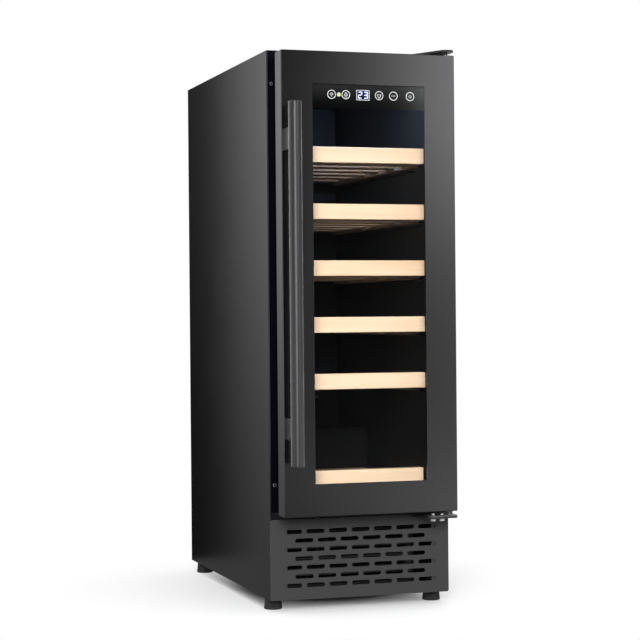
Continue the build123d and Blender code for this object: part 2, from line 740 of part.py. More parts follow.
# Shelves of beech: a front board, two side rails and a row of slats
for number, (shelf_top, shelf_front) in enumerate(zip(SHELF_TOPS, SHELF_FRONTS), start=1):
    fascia_y = Y_F + shelf_front
    rack_y = fascia_y + FASCIA_T + GLUE
    rack_end = shelf_end(shelf_top)
    slat_z = shelf_top - SLAT_DROP
    slat_x = RACK_X - SIDE_RAIL_W - GLUE
    slat_count = int((rack_end - rack_y + SLAT_GAP) // (SLAT_W + SLAT_GAP))
    slat_pitch = (rack_end - rack_y - SLAT_W) / (slat_count - 1)
    with BuildPart() as shelf:
        block(-FASCIA_X, FASCIA_X, fascia_y, fascia_y + FASCIA_T, shelf_top - FASCIA_H, shelf_top)
        fillet(shelf.edges().group_by(Axis.Y)[0], FASCIA_R)
        for side in (-1, 1):
            near, far = sorted((side * (RACK_X - SIDE_RAIL_W), side * RACK_X))
            block(near, far, rack_y, rack_end, slat_z - SLAT_T, slat_z)
        for index in range(slat_count):
            slat_y = rack_y + index * slat_pitch
            block(-slat_x, slat_x, slat_y, slat_y + SLAT_W, slat_z - SLAT_T, slat_z)
    write(shelf.part, f"shelf_{number}")

# Runners on the cavity walls, each a channel that a shelf's side rail slides in
with BuildPart() as shelf_runners:
    for shelf_top, shelf_front in zip(SHELF_TOPS, SHELF_FRONTS):
        runner_y = Y_F + shelf_front + FASCIA_T + RUNNER_SETBACK
        runner_end = shelf_end(shelf_top)
        groove_z1 = shelf_top - SLAT_DROP + RUNNER_PLAY
        groove_z0 = shelf_top - SLAT_DROP - SLAT_T - RUNNER_PLAY
        with BuildSketch(front_plane(runner_end)) as channel:
            area(RACK_X - RUNNER_LEDGE, CAV - FIT, groove_z0 - RUNNER_T, groove_z1 + RUNNER_T)
            area(
                RACK_X - RUNNER_LEDGE,
                CAV - FIT - RUNNER_WEB,
                groove_z0,
                groove_z1,
                mode=Mode.SUBTRACT,
            )
            mirror(about=Plane.YZ)
        extrude(amount=runner_end - runner_y)
write(shelf_runners.part, "shelf_runners")

# Light: a cover under the ceiling and the lamp board above it
with BuildPart() as light_cover:
    with BuildSketch(Plane.XY.offset(Z_CEIL - LIGHT_H)):
        with Locations((0, LIGHT_Y)):
            RectangleRounded(LIGHT_W, LIGHT_D, LIGHT_R)
    extrude(amount=LIGHT_H - GLUE)
    fillet(light_cover.edges().group_by(Axis.Z)[0], LIGHT_WALL)
    with BuildSketch(Plane.XY.offset(Z_CEIL - LIGHT_H + LIGHT_WALL)):
        with Locations((0, LIGHT_Y)):
            RectangleRounded(LIGHT_W - 2 * LIGHT_WALL, LIGHT_D - 2 * LIGHT_WALL, LIGHT_R - LIGHT_WALL)
    extrude(amount=LIGHT_H, mode=Mode.SUBTRACT)
write(light_cover.part, "light_cover")

with BuildPart() as led_board:
    with BuildSketch(Plane.XY.offset(Z_CEIL - GLUE - BOARD_T)):
        with Locations((0, LIGHT_Y)):
            Rectangle(LED_W, LED_D)
    extrude(amount=BOARD_T)
    with BuildSketch(Plane.XY.offset(Z_CEIL - GLUE - BOARD_T)):
        with Locations((0, LIGHT_Y)):
            with GridLocations(LED_W / LED_COUNT, LED_D, LED_COUNT, 1):
                Rectangle(LED_CHIP, LED_CHIP)
    extrude(amount=-BOARD_T)
write(led_board.part, "led_board")

# Air duct cover: a box on the rear wall with slots below and in front of its fan
with BuildPart() as air_duct_cover:
    block(-DUCT_X, DUCT_X, DUCT_Y, Y_REAR - FIT, Z_HUMP + FIT, Z_CEIL - DUCT_TOP_GAP)
    block(
        DUCT_WALL - DUCT_X,
        DUCT_X - DUCT_WALL,
        DUCT_Y + DUCT_WALL,
        Y_REAR - FIT,
        Z_HUMP + FIT + DUCT_WALL,
        Z_CEIL - DUCT_TOP_GAP - DUCT_WALL,
        mode=Mode.SUBTRACT,
    )
    with BuildSketch(front_plane(DUCT_Y + DUCT_WALL)):
        with Locations((0, Z_HUMP + DUCT_SLOT_RISE + DUCT_SLOT_ROWS * DUCT_SLOT_PITCH / 2)):
            with GridLocations(DUCT_SLOT_W, DUCT_SLOT_PITCH, 1, DUCT_SLOT_ROWS):
                Rectangle(DUCT_SLOT_W, DUCT_SLOT_H)
        with Locations((0, COOL_FAN_Z)):
            with PolarLocations(COOL_FAN_W / 3, DUCT_FAN_SLOTS):
                Rectangle(COOL_FAN_W / 5, DUCT_SLOT_H)
    extrude(amount=DUCT_WALL, mode=Mode.SUBTRACT)
    for pipe_x, pipe_r in ((PIPE_X, PIPE_R), (-PIPE_X, CAPILLARY_R)):
        rod((pipe_x, PIPE_Y, Z_HUMP), UP, pipe_r + PIPE_HOLE, FIT + DUCT_WALL, mode=Mode.SUBTRACT)
write(air_duct_cover.part, "air_duct_cover")

# Evaporator: vertical fins on a back web between two solid headers
with BuildPart() as evaporator:
    block(
        -EVAPORATOR_W / 2,
        EVAPORATOR_W / 2,
        Y_REAR - FIT - EVAPORATOR_D,
        Y_REAR - FIT,
        EVAPORATOR_Z,
        EVAPORATOR_Z + EVAPORATOR_H,
    )
    fin_span = EVAPORATOR_W - 2 * EVAPORATOR_HEADER
    fin_pitch = (fin_span + EVAPORATOR_FIN_T) / (EVAPORATOR_FINS + 1)
    with BuildSketch(front_plane(Y_REAR - FIT - EVAPORATOR_WEB)):
        with Locations((0, EVAPORATOR_Z + EVAPORATOR_H / 2)):
            with GridLocations(fin_pitch, EVAPORATOR_H, EVAPORATOR_FINS + 1, 1):
                Rectangle(fin_pitch - EVAPORATOR_FIN_T, EVAPORATOR_H)
    extrude(amount=EVAPORATOR_D - EVAPORATOR_WEB, mode=Mode.SUBTRACT)
write(evaporator.part, "evaporator")

# Drain tube from the cavity floor to the drip tray
with BuildPart() as drain_tube:
    rod((0, DRAIN_Y, Z_FLOOR + GLUE), UP, DRAIN_FLANGE_R, DRAIN_FLANGE_T)
    rod((0, DRAIN_Y, DRAIN_END), UP, DRAIN_R, Z_FLOOR + GLUE - DRAIN_END)
    rod(
        (0, DRAIN_Y, DRAIN_END),
        UP,
        DRAIN_BORE,
        Z_FLOOR + GLUE + DRAIN_FLANGE_T - DRAIN_END,
        mode=Mode.SUBTRACT,
    )
write(drain_tube.part, "drain_tube")

# Fans


def fan_frame(y, z, size, depth):
    """Square fan frame with a round bore, a motor on a spider at the rear and its bearing."""
    back = y + depth
    with BuildSketch(front_plane(back)) as wall:
        with Locations((0, z)):
            RectangleRounded(size, size, FAN_CORNER)
            Circle(size / 2 - FAN_RIM, mode=Mode.SUBTRACT)
    extrude(wall.sketch, amount=depth)
    with BuildSketch(front_plane(back)) as spider:
        with Locations((0, z)):
            Circle(FAN_MOTOR_R)
            with PolarLocations((size / 2 - FAN_RIM) / 2, FAN_SPOKES, start_angle=FAN_SPOKE_TURN):
                Rectangle(size / 2 - FAN_RIM + FAN_RIM / 2, FAN_SPOKE_W)
    extrude(spider.sketch, amount=FAN_SPIDER_T)
    rod((0, back, z), FORWARD, FAN_BEARING_R, FAN_SPIDER_T + FAN_BEARING_L)
    rod(
        (0, back - FAN_SPIDER_T / 2, z),
        FORWARD,
        FAN_SHAFT_R + RUN,
        FAN_SPIDER_T / 2 + FAN_BEARING_L,
        mode=Mode.SUBTRACT,
    )


def fan_rotor(y, z, size, depth):
    """Fan rotor: a cup hub on a shaft with twisted blades that clear the bore."""
    tip_r = size / 2 - FAN_RIM - FAN_TIP_GAP
    root_r = FAN_HUB_R - FAN_HUB_WALL
    front = y + FAN_GAP
    hub_l = depth - FAN_SPIDER_T - 2 * FAN_GAP
    sweep_l = hub_l - 2 * FAN_BLADE_T
    axis_point = Vector(0, front + hub_l / 2, z)
    for index in range(FAN_BLADES):
        radial = Vector(1, 0, 0).rotate(Axis.Y, index * 360 / FAN_BLADES)
        blade_sections = []
        for reach, pitch in ((root_r, FAN_ROOT_PITCH), (tip_r + FAN_TIP_GAP, FAN_TIP_PITCH)):
            plane = Plane(origin=axis_point + radial * reach, x_dir=FORWARD, z_dir=radial)
            with BuildSketch(plane) as section:
                Rectangle(sweep_l / cos(radians(pitch)), FAN_BLADE_T, rotation=pitch)
            blade_sections.append(section.sketch)
        loft(blade_sections)
    rod((0, front, z), BACKWARD, tip_r, hub_l, mode=Mode.INTERSECT)
    rod((0, front, z), BACKWARD, FAN_HUB_R, hub_l)
    rod((0, front + FAN_HUB_WALL, z), BACKWARD, FAN_HUB_R - FAN_HUB_WALL, hub_l, mode=Mode.SUBTRACT)
    rod((0, front, z), BACKWARD, FAN_SHAFT_R, depth - FAN_GAP - FAN_SPIDER_T / 2 - RUN)


with BuildPart() as evaporator_fan_frame:
    fan_frame(COOL_FAN_Y, COOL_FAN_Z, COOL_FAN_W, COOL_FAN_D)
write(evaporator_fan_frame.part, "evaporator_fan_frame")

with BuildPart() as evaporator_fan:
    fan_rotor(COOL_FAN_Y, COOL_FAN_Z, COOL_FAN_W, COOL_FAN_D)
write(evaporator_fan.part, "evaporator_fan")

with BuildPart() as condenser_fan_frame:
    fan_frame(WARM_FAN_Y, WARM_FAN_Z, WARM_FAN_W, WARM_FAN_D)
write(condenser_fan_frame.part, "condenser_fan_frame")

with BuildPart() as condenser_fan:
    fan_rotor(WARM_FAN_Y, WARM_FAN_Z, WARM_FAN_W, WARM_FAN_D)
write(condenser_fan.part, "condenser_fan")

# Machine bay

# Compressor: a deep-drawn shell with a welded seam, on a foot plate, with two pipe stubs
with BuildPart() as compressor:
    with BuildSketch(Plane(origin=(COMPRESSOR_X, COMPRESSOR_Y, Z_SHELL), x_dir=(1, 0, 0), z_dir=FORWARD)):
        with BuildLine():
            Line((0, 0), (COMPRESSOR_R - SHELL_CURVE, 0))
            TangentArc(
                (COMPRESSOR_R - SHELL_CURVE, 0),
                (COMPRESSOR_R, SHELL_CURVE),
                tangent=(1, 0),
            )
            Polyline(
                (COMPRESSOR_R, SHELL_CURVE),
                (COMPRESSOR_R, SEAM_RISE),
                (COMPRESSOR_R + SEAM_LIP, SEAM_RISE),
                (COMPRESSOR_R + SEAM_LIP, SEAM_RISE + SEAM_H),
                (COMPRESSOR_R, SEAM_RISE + SEAM_H),
                (COMPRESSOR_R, COMPRESSOR_H - DOME_H),
            )
            shoulder = JernArc((COMPRESSOR_R, COMPRESSOR_H - DOME_H), (0, 1), SHOULDER_R, SHOULDER_TURN)
            crown = JernArc(shoulder @ 1, shoulder % 1, CROWN_R, 90 - SHOULDER_TURN)
            Line(crown @ 1, (0, 0))
        make_face()
    revolve(axis=Axis((COMPRESSOR_X, COMPRESSOR_Y, 0), UP))
    with BuildSketch(Plane.XY.offset(Z_PLATE)):
        with Locations((COMPRESSOR_X, COMPRESSOR_Y)):
            RectangleRounded(FOOT_PLATE_W, FOOT_PLATE_D, FOOT_PLATE_R)
            with GridLocations(2 * GROMMET_X, 2 * GROMMET_Y, 2, 2):
                Circle(STUD_R + FIT, mode=Mode.SUBTRACT)
    extrude(amount=FOOT_PLATE_T)
    rod(
        (COMPRESSOR_X - COMPRESSOR_R + STUB_L, COMPRESSOR_Y, DISCHARGE_Z),
        LEFTWARD,
        STUB_R,
        2 * STUB_L,
    )
    rod(
        (COMPRESSOR_X + SUCTION_X, COMPRESSOR_Y, SUCTION_TOP),
        DOWN,
        STUB_R,
        SUCTION_RISE + DOME_H,
    )
write(compressor.part, "compressor")

# Rubber grommets under the compressor's foot plate, on the studs of the tray
with BuildPart() as compressor_grommets:
    for grommet_x, grommet_y in GROMMET_PLACES:
        rod((grommet_x, grommet_y, Z_TRAY), UP, GROMMET_WAIST, GROMMET_H)
        rod((grommet_x, grommet_y, Z_TRAY), UP, GROMMET_R, GROMMET_COLLAR)
        rod((grommet_x, grommet_y, Z_PLATE), DOWN, GROMMET_R, GROMMET_COLLAR)
        rod((grommet_x, grommet_y, Z_TRAY), UP, STUD_R + FIT, GROMMET_H, mode=Mode.SUBTRACT)
write(compressor_grommets.part, "compressor_grommets")

# Cover over the compressor's terminals, hollowed to the round of its shell
with BuildPart() as terminal_cover:
    block(
        COMPRESSOR_X + COMPRESSOR_R - TERMINAL_R,
        COMPRESSOR_X + COMPRESSOR_R + TERMINAL_D,
        COMPRESSOR_Y - TERMINAL_W / 2,
        COMPRESSOR_Y + TERMINAL_W / 2,
        Z_SHELL + TERMINAL_RISE,
        Z_SHELL + TERMINAL_RISE + TERMINAL_H,
    )
    fillet(terminal_cover.edges().group_by(Axis.X)[-1], TERMINAL_R)
    rod((COMPRESSOR_X, COMPRESSOR_Y, Z_SHELL), UP, COMPRESSOR_R + FIT, COMPRESSOR_H, mode=Mode.SUBTRACT)
write(terminal_cover.part, "terminal_cover")

# Condenser: flat tubes between two upright headers
with BuildPart() as condenser:
    for side in (-1, 1):
        rod((side * HEADER_X, CONDENSER_Y + CONDENSER_D / 2, Z_TRAY + FIT), UP, HEADER_R, CONDENSER_H)
    tube_pitch = (CONDENSER_H - 2 * HEADER_R) / (CONDENSER_TUBES - 1)
    with BuildSketch(front_plane(CONDENSER_Y + CONDENSER_D)):
        with Locations((0, Z_TRAY + FIT + CONDENSER_H / 2)):
            with GridLocations(CONDENSER_W, tube_pitch, 1, CONDENSER_TUBES):
                Rectangle(CONDENSER_W + HEADER_R, CONDENSER_TUBE_T)
    extrude(amount=CONDENSER_D)
write(condenser.part, "condenser")

# Filter drier: a copper capsule that tapers to the pipes
with BuildPart() as filter_drier:
    drier_y = Y_F + DRIER_START
    with BuildSketch(side_plane(-PIPE_SIDE)):
        with BuildLine():
            Polyline(
                (drier_y, LIQUID_Z),
                (drier_y, LIQUID_Z + PIPE_R),
                (drier_y + DRIER_NECK, LIQUID_Z + DRIER_R),
                (drier_y + DRIER_NECK + DRIER_L, LIQUID_Z + DRIER_R),
                (DRIER_END, LIQUID_Z + PIPE_R),
                (DRIER_END, LIQUID_Z),
                close=True,
            )
        make_face()
    revolve(axis=Axis((-PIPE_SIDE, 0, LIQUID_Z), BACKWARD))
write(filter_drier.part, "filter_drier")

# Refrigerant pipes: discharge, liquid line, capillary and suction line
with BuildPart() as refrigerant_pipes:
    header_end = -HEADER_X - HEADER_R - GLUE
    header_y = CONDENSER_Y + CONDENSER_D / 2
    pipe(
        [
            (COMPRESSOR_X - COMPRESSOR_R - STUB_L - GLUE, COMPRESSOR_Y, DISCHARGE_Z),
            (-PIPE_SIDE, COMPRESSOR_Y, DISCHARGE_Z),
            (-PIPE_SIDE, header_y, DISCHARGE_Z),
            (header_end, header_y, DISCHARGE_Z),
        ],
        PIPE_R,
        PIPE_BEND,
    )
    pipe(
        [
            (header_end, header_y, LIQUID_Z),
            (-PIPE_SIDE, header_y, LIQUID_Z),
            (-PIPE_SIDE, Y_F + DRIER_START - GLUE, LIQUID_Z),
        ],
        PIPE_R,
        PIPE_BEND,
    )
    pipe(
        [
            (-PIPE_SIDE, DRIER_END + GLUE, LIQUID_Z),
            (-PIPE_SIDE, DRIER_END + CAPILLARY_TURN, LIQUID_Z),
            (-PIPE_X, DRIER_END + CAPILLARY_TURN, LIQUID_Z),
            (-PIPE_X, PIPE_Y, LIQUID_Z),
            (-PIPE_X, PIPE_Y, EVAPORATOR_Z - GLUE),
        ],
        CAPILLARY_R,
        PIPE_BEND,
    )
    pipe(
        [
            (PIPE_X, PIPE_Y, EVAPORATOR_Z - GLUE),
            (PIPE_X, PIPE_Y, Z_BAY - SUCTION_DROP),
            (COMPRESSOR_X + SUCTION_X, COMPRESSOR_Y, Z_BAY - SUCTION_DROP),
            (COMPRESSOR_X + SUCTION_X, COMPRESSOR_Y, SUCTION_TOP + GLUE),
        ],
        PIPE_R,
        SUCTION_BEND,
    )
write(refrigerant_pipes.part, "refrigerant_pipes")

# Drip tray under the drain
with BuildPart() as drip_tray:
    with BuildSketch(Plane.XY.offset(Z_TRAY + FIT)):
        with Locations((0, DRAIN_Y)):
            RectangleRounded(DRIP_W, DRIP_D, DRIP_R)
    extrude(amount=DRIP_H)
    with BuildSketch(Plane.XY.offset(Z_TRAY + FIT + DRIP_WALL)):
        with Locations((0, DRAIN_Y)):
            RectangleRounded(DRIP_W - 2 * DRIP_WALL, DRIP_D - 2 * DRIP_WALL, DRIP_R - DRIP_WALL)
    extrude(amount=DRIP_H, mode=Mode.SUBTRACT)
write(drip_tray.part, "drip_tray")

# Housing of the power board
with BuildPart() as power_box:
    block(
        POWER_X - POWER_W,
        POWER_X,
        Y_F + POWER_SETBACK,
        Y_F + POWER_SETBACK + POWER_D,
        Z_TRAY + FIT,
        Z_TRAY + FIT + POWER_H,
    )
    fillet(power_box.edges().filter_by(Axis.Z), POWER_R)
    fillet(power_box.edges().group_by(Axis.Z)[-1], POWER_WALL)
write(power_box.part, "power_box")

# Gland in the rear cover where the supply cord enters
with BuildPart() as cord_gland:
    rod((GLAND_X, Y_REAR_PANEL, GLAND_Z), FORWARD, GLAND_FLANGE_R, GLAND_FLANGE_T)
    rod((GLAND_X, Y_B, GLAND_Z), FORWARD, GLAND_R, Y_B - Y_REAR_PANEL + GLAND_L)
    rod((GLAND_X, Y_B, GLAND_Z), FORWARD, GLAND_BORE, Y_B - Y_REAR_PANEL + GLAND_L, mode=Mode.SUBTRACT)
write(cord_gland.part, "cord_gland")

# Hinges

# Upper bracket: a flat plate on the cabinet that narrows to the pivot over the door
with BuildPart() as upper_hinge_bracket:
    with BuildSketch(Plane.XY.offset(Z_TOP)):
        with Locations((HINGE_X, PIN_Y)):
            Circle(HINGE_END_R)
        area(HINGE_BACK_X, BRACKET_X, Y_F + HINGE_BACK_START, Y_F + HINGE_BACK)
        make_hull()
        for screw_x in HINGE_SCREW_X:
            with Locations((screw_x, HINGE_SCREW_Y)):
                Circle(SCREW_R + RUN, mode=Mode.SUBTRACT)
    extrude(amount=HINGE_PLATE_T)
    rod((HINGE_X, PIN_Y, Z_TOP), DOWN, PIN_R, Z_TOP - DOOR_Z1 + PIN_L)
write(upper_hinge_bracket.part, "upper_hinge_bracket")

# Lower bracket: an angle screwed to the front of the cabinet
with BuildPart() as lower_hinge_bracket:
    with BuildSketch(Plane.XY.offset(Z_BRACKET)) as bracket_plan:
        with BuildLine():
            Polyline(
                (BRACKET_LEFT, Y_F),
                (BRACKET_X, Y_F),
                (BRACKET_X, Y_F - BRACKET_FRONT),
                (BRACKET_NOSE, Y_F - BRACKET_FRONT),
                close=True,
            )
        make_face()
        fillet(bracket_plan.vertices().group_by(Axis.Y)[0], BRACKET_R)
        for bolt_x in BOLT_X:
            with Locations((bolt_x, Y_F - BOLT_Y)):
                Circle(BOLT_R + RUN, mode=Mode.SUBTRACT)
    extrude(amount=BRACKET_T)
    block(BRACKET_LEFT, BRACKET_X, Y_F - BRACKET_T, Y_F, Z_BRACKET, Z_BRACKET + BRACKET_FLANGE_H)
    for screw_x in BRACKET_SCREW_X:
        rod((screw_x, Y_F, BRACKET_SCREW_Z), FORWARD, SCREW_R + RUN, BRACKET_T, mode=Mode.SUBTRACT)
write(lower_hinge_bracket.part, "lower_hinge_bracket")

# Pivot plate on the lower bracket, with the shouldered pin that carries the door
with BuildPart() as lower_pivot_plate:
    with BuildSketch(Plane.XY.offset(Z_PIVOT)) as pivot_plan:
        area(BRACKET_NOSE, BRACKET_X, Y_F - BRACKET_FRONT, Y_F - BRACKET_FRONT + PIVOT_D)
        fillet(pivot_plan.vertices(), BRACKET_R)
        for bolt_x in BOLT_X:
            with Locations((bolt_x, Y_F - BOLT_Y)):
                Circle(BOLT_R + RUN, mode=Mode.SUBTRACT)
    extrude(amount=PIVOT_T)
    rod((HINGE_X, PIN_Y, Z_PIVOT), UP, PIN_SHOULDER_R, DOOR_Z0 - BUSH_FLANGE_T - FIT - Z_PIVOT)
    rod((HINGE_X, PIN_Y, Z_PIVOT), UP, PIN_R, DOOR_Z0 + PIN_L - Z_PIVOT)
write(lower_pivot_plate.part, "lower_pivot_plate")

# Bolts that clamp the pivot plate, hanging below the bracket
with BuildPart() as adjuster_bolts:
    for bolt_x in BOLT_X:
        with BuildSketch(Plane.XY.offset(Z_BRACKET)):
            with Locations((bolt_x, Y_F - BOLT_Y)):
                RegularPolygon(BOLT_HEAD_R, 6)
        extrude(amount=-BOLT_HEAD_H)
        rod((bolt_x, Y_F - BOLT_Y, Z_BRACKET), UP, BOLT_R, BRACKET_T + PIVOT_T + BOLT_TIP)
write(adjuster_bolts.part, "adjuster_bolts")

# Screws of the hinges and of the front flange
with BuildPart() as cabinet_screws:
    for screw_x in HINGE_SCREW_X:
        rod((screw_x, HINGE_SCREW_Y, Z_TOP + HINGE_PLATE_T), UP, SCREW_HEAD_R, SCREW_HEAD_H)
        rod((screw_x, HINGE_SCREW_Y, Z_TOP + HINGE_PLATE_T), DOWN, SCREW_R, HINGE_PLATE_T + PANEL_T)
    for screw_x in BRACKET_SCREW_X:
        rod((screw_x, Y_F - BRACKET_T, BRACKET_SCREW_Z), FORWARD, SCREW_HEAD_R, SCREW_HEAD_H)
        rod((screw_x, Y_F - BRACKET_T, BRACKET_SCREW_Z), BACKWARD, SCREW_R, BRACKET_T + PANEL_T)
    for screw_x in (-FLANGE_SCREW_X, FLANGE_SCREW_X):
        for screw_z in FLANGE_SCREW_Z:
            rod((screw_x, Y_F, screw_z), FORWARD, FLANGE_SCREW_HEAD_R, FLANGE_SCREW_HEAD_H)
            rod((screw_x, Y_F, screw_z), BACKWARD, SCREW_R, PANEL_T)
write(cabinet_screws.part, "cabinet_screws")

# Door

# Outer frame: a folded tray with the window cut out of its face
with BuildPart() as door_frame:
    with BuildSketch(front_plane(SKIN_BACK)):
        with Locations((0, (DOOR_Z0 + DOOR_Z1) / 2)):
            RectangleRounded(2 * DOOR_X, DOOR_Z1 - DOOR_Z0, DOOR_R)
    extrude(amount=DOOR_SKIN_D)
    fillet(door_frame.edges().group_by(Axis.Y)[0], DOOR_SKIN_T)
    block(
        DOOR_SKIN_T - DOOR_X,
        DOOR_X - DOOR_SKIN_T,
        DOOR_Y + DOOR_SKIN_T,
        SKIN_BACK,
        DOOR_Z0 + DOOR_SKIN_T,
        DOOR_Z1 - DOOR_SKIN_T,
        mode=Mode.SUBTRACT,
    )
    block(-WIN_X, WIN_X, DOOR_Y, DOOR_Y + DOOR_SKIN_T, WIN_Z0, WIN_Z1, mode=Mode.SUBTRACT)
    rod((HINGE_X, PIN_Y, DOOR_Z1), DOWN, BUSH_R + RUN, DOOR_SKIN_T, mode=Mode.SUBTRACT)
    rod((HINGE_X, PIN_Y, DOOR_Z0), UP, BUSH_R + RUN, DOOR_SKIN_T, mode=Mode.SUBTRACT)
    for post_z in POST_Z:
        rod(
            (HANDLE_X, DOOR_Y, post_z),
            BACKWARD,
            HANDLE_SCREW_R + GLUE,
            DOOR_SKIN_T,
            mode=Mode.SUBTRACT,
        )
write(door_frame.part, "door_frame")

# Front pane, bonded behind the face of the frame
with BuildPart() as front_glass:
    block(-PANE_X, PANE_X, PANE_Y, PANE_Y + GLASS_T, PANE_Z0, PANE_Z1)
write(front_glass.part, "front_glass")

# Spacer that seals the gap between the panes
with BuildPart() as glass_spacer:
    spacer_in = SPACER_INSET + SPACER_W
    ring(
        SPACER_Y + GLUE,
        INNER_PANE_Y - GLUE,
        (PANE_X - SPACER_INSET, PANE_Z0 + SPACER_INSET, INNER_PANE_Z1 - SPACER_INSET),
        (PANE_X - spacer_in, PANE_Z0 + spacer_in, INNER_PANE_Z1 - spacer_in),
    )
write(glass_spacer.part, "glass_spacer")

# Inner pane, which ends below the controls
with BuildPart() as inner_glass:
    block(-PANE_X, PANE_X, INNER_PANE_Y, INNER_PANE_Y + GLASS_T, PANE_Z0, INNER_PANE_Z1)
write(inner_glass.part, "inner_glass")

# Moulded inner frame: fills the skin, holds the panes by a lip and carries the gasket
with BuildPart() as door_inner_frame:
    ring(
        DOOR_Y + DOOR_SKIN_T + GLUE,
        SKIN_BACK - DOOR_SKIN_T,
        (DOOR_X - DOOR_SKIN_T - FIT, DOOR_Z0 + DOOR_SKIN_T + FIT, DOOR_Z1 - DOOR_SKIN_T - FIT),
        (PANE_X + FIT, PANE_Z0 - FIT, PANE_Z1 + FIT),
    )
    ring(
        LIP_Y,
        LIP_Y + LIP_T,
        (PANE_X + LIP_LAP, PANE_Z0 - LIP_LAP, PANE_Z1 + LIP_LAP),
        (PANE_X - LIP_LAP, PANE_Z0 + LIP_LAP, INNER_PANE_Z1 - LIP_LAP),
    )
    ring(
        SKIN_BACK - DOOR_SKIN_T,
        INNER_BACK,
        (DOOR_X - INNER_STEP, DOOR_Z0 + INNER_STEP, DOOR_Z1 - INNER_STEP),
        (RECESS_X, RECESS_Z0, RECESS_Z1),
    )
    rod((HINGE_X, PIN_Y, DOOR_Z1), DOWN, BUSH_R + RUN, BUSH_L + FIT, mode=Mode.SUBTRACT)
    rod((HINGE_X, PIN_Y, DOOR_Z0), UP, BUSH_R + RUN, BUSH_L + FIT, mode=Mode.SUBTRACT)
    for post_z in POST_Z:
        rod(
            (HANDLE_X, DOOR_Y, post_z),
            BACKWARD,
            HANDLE_SCREW_HEAD_R + FIT,
            DOOR_SKIN_T + HANDLE_SCREW_HEAD_H + FIT,
            mode=Mode.SUBTRACT,
        )
write(door_inner_frame.part, "door_inner_frame")

# Magnetic gasket: a base, a soft neck and a flat sealing head
with BuildPart() as door_gasket:
    gasket_y = (INNER_BACK, INNER_BACK + GASKET_BASE, Y_F - GASKET_GAP - GASKET_HEAD, Y_F - GASKET_GAP)
    for layer, pinch in enumerate((0, GASKET_PINCH, 0)):
        outer = GASKET_INSET + pinch
        inner = GASKET_INSET + GASKET_W - pinch
        ring(
            gasket_y[layer],
            gasket_y[layer + 1],
            (DOOR_X - outer, DOOR_Z0 + outer, DOOR_Z1 - outer),
            (DOOR_X - inner, DOOR_Z0 + inner, DOOR_Z1 - inner),
        )
write(door_gasket.part, "door_gasket")

# Bushes of the hinge pins, each with a collar outside the door
with BuildPart() as hinge_bushes:
    for end_z, inward, outward in ((DOOR_Z1, DOWN, UP), (DOOR_Z0, UP, DOWN)):
        rod((HINGE_X, PIN_Y, end_z), inward, BUSH_R, BUSH_L)
        rod((HINGE_X, PIN_Y, end_z), outward, BUSH_FLANGE_R, BUSH_FLANGE_T)
        rod((HINGE_X, PIN_Y, end_z), inward, PIN_R + RUN, BUSH_L, mode=Mode.SUBTRACT)
        rod((HINGE_X, PIN_Y, end_z), outward, PIN_R + RUN, BUSH_FLANGE_T, mode=Mode.SUBTRACT)
write(hinge_bushes.part, "hinge_bushes")

# Controls: housing, board, light guides and display behind the top of the front pane
with BuildPart() as control_housing:
    block(
        -CONTROL_X,
        CONTROL_X,
        SPACER_Y + PRINT_GAP,
        LIP_Y - FIT,
        INNER_PANE_Z1 + CONTROL_WALL,
        PANE_Z1 - CONTROL_WALL,
    )
    block(
        CONTROL_WALL - CONTROL_X,
        CONTROL_X - CONTROL_WALL,
        SPACER_Y + PRINT_GAP,
        LIP_Y - FIT - CONTROL_WALL,
        INNER_PANE_Z1 + 2 * CONTROL_WALL,
        PANE_Z1 - 2 * CONTROL_WALL,
        mode=Mode.SUBTRACT,
    )
write(control_housing.part, "control_housing")

with BuildPart() as control_board:
    block(
        CONTROL_WALL + FIT - CONTROL_X,
        CONTROL_X - CONTROL_WALL - FIT,
        SPACER_Y + BOARD_DEPTH,
        SPACER_Y + BOARD_DEPTH + BOARD_T,
        INNER_PANE_Z1 + 2 * CONTROL_WALL + FIT,
        PANE_Z1 - 2 * CONTROL_WALL - FIT,
    )
write(control_board.part, "control_board")

with BuildPart() as touch_light_guides:
    with BuildSketch(front_plane(SPACER_Y + BOARD_DEPTH - GLUE)):
        for ring_x in RING_X:
            with Locations((ring_x, WIN_Z1 - CONTROL_Z)):
                Circle(RING_R)
                Circle(RING_R - RING_WALL, mode=Mode.SUBTRACT)
        with Locations((LAMP_X, WIN_Z1 - CONTROL_Z)):
            Circle(LAMP_R)
    extrude(amount=BOARD_DEPTH - GLUE - PRINT_GAP)
write(touch_light_guides.part, "touch_light_guides")

with BuildPart() as display_module:
    block(
        DISPLAY_X - DISPLAY_W / 2,
        DISPLAY_X + DISPLAY_W / 2,
        SPACER_Y + PRINT_GAP,
        SPACER_Y + BOARD_DEPTH - GLUE,
        WIN_Z1 - CONTROL_Z - DISPLAY_H / 2,
        WIN_Z1 - CONTROL_Z + DISPLAY_H / 2,
    )
write(display_module.part, "display_module")

# Handle: a round bar on two posts, screwed from inside the door
with BuildPart() as handle_bar:
    rod((HANDLE_X, HANDLE_Y, HANDLE_Z), UP, HANDLE_R, HANDLE_L)
    chamfer(handle_bar.edges().filter_by(GeomType.CIRCLE), HANDLE_CHAMFER)
    for post_z in POST_Z:
        rod(
            (HANDLE_X, HANDLE_Y + HANDLE_R, post_z),
            FORWARD,
            HANDLE_SCREW_R + RUN,
            HANDLE_SCREW_BITE,
            mode=Mode.SUBTRACT,
        )
write(handle_bar.part, "handle_bar")

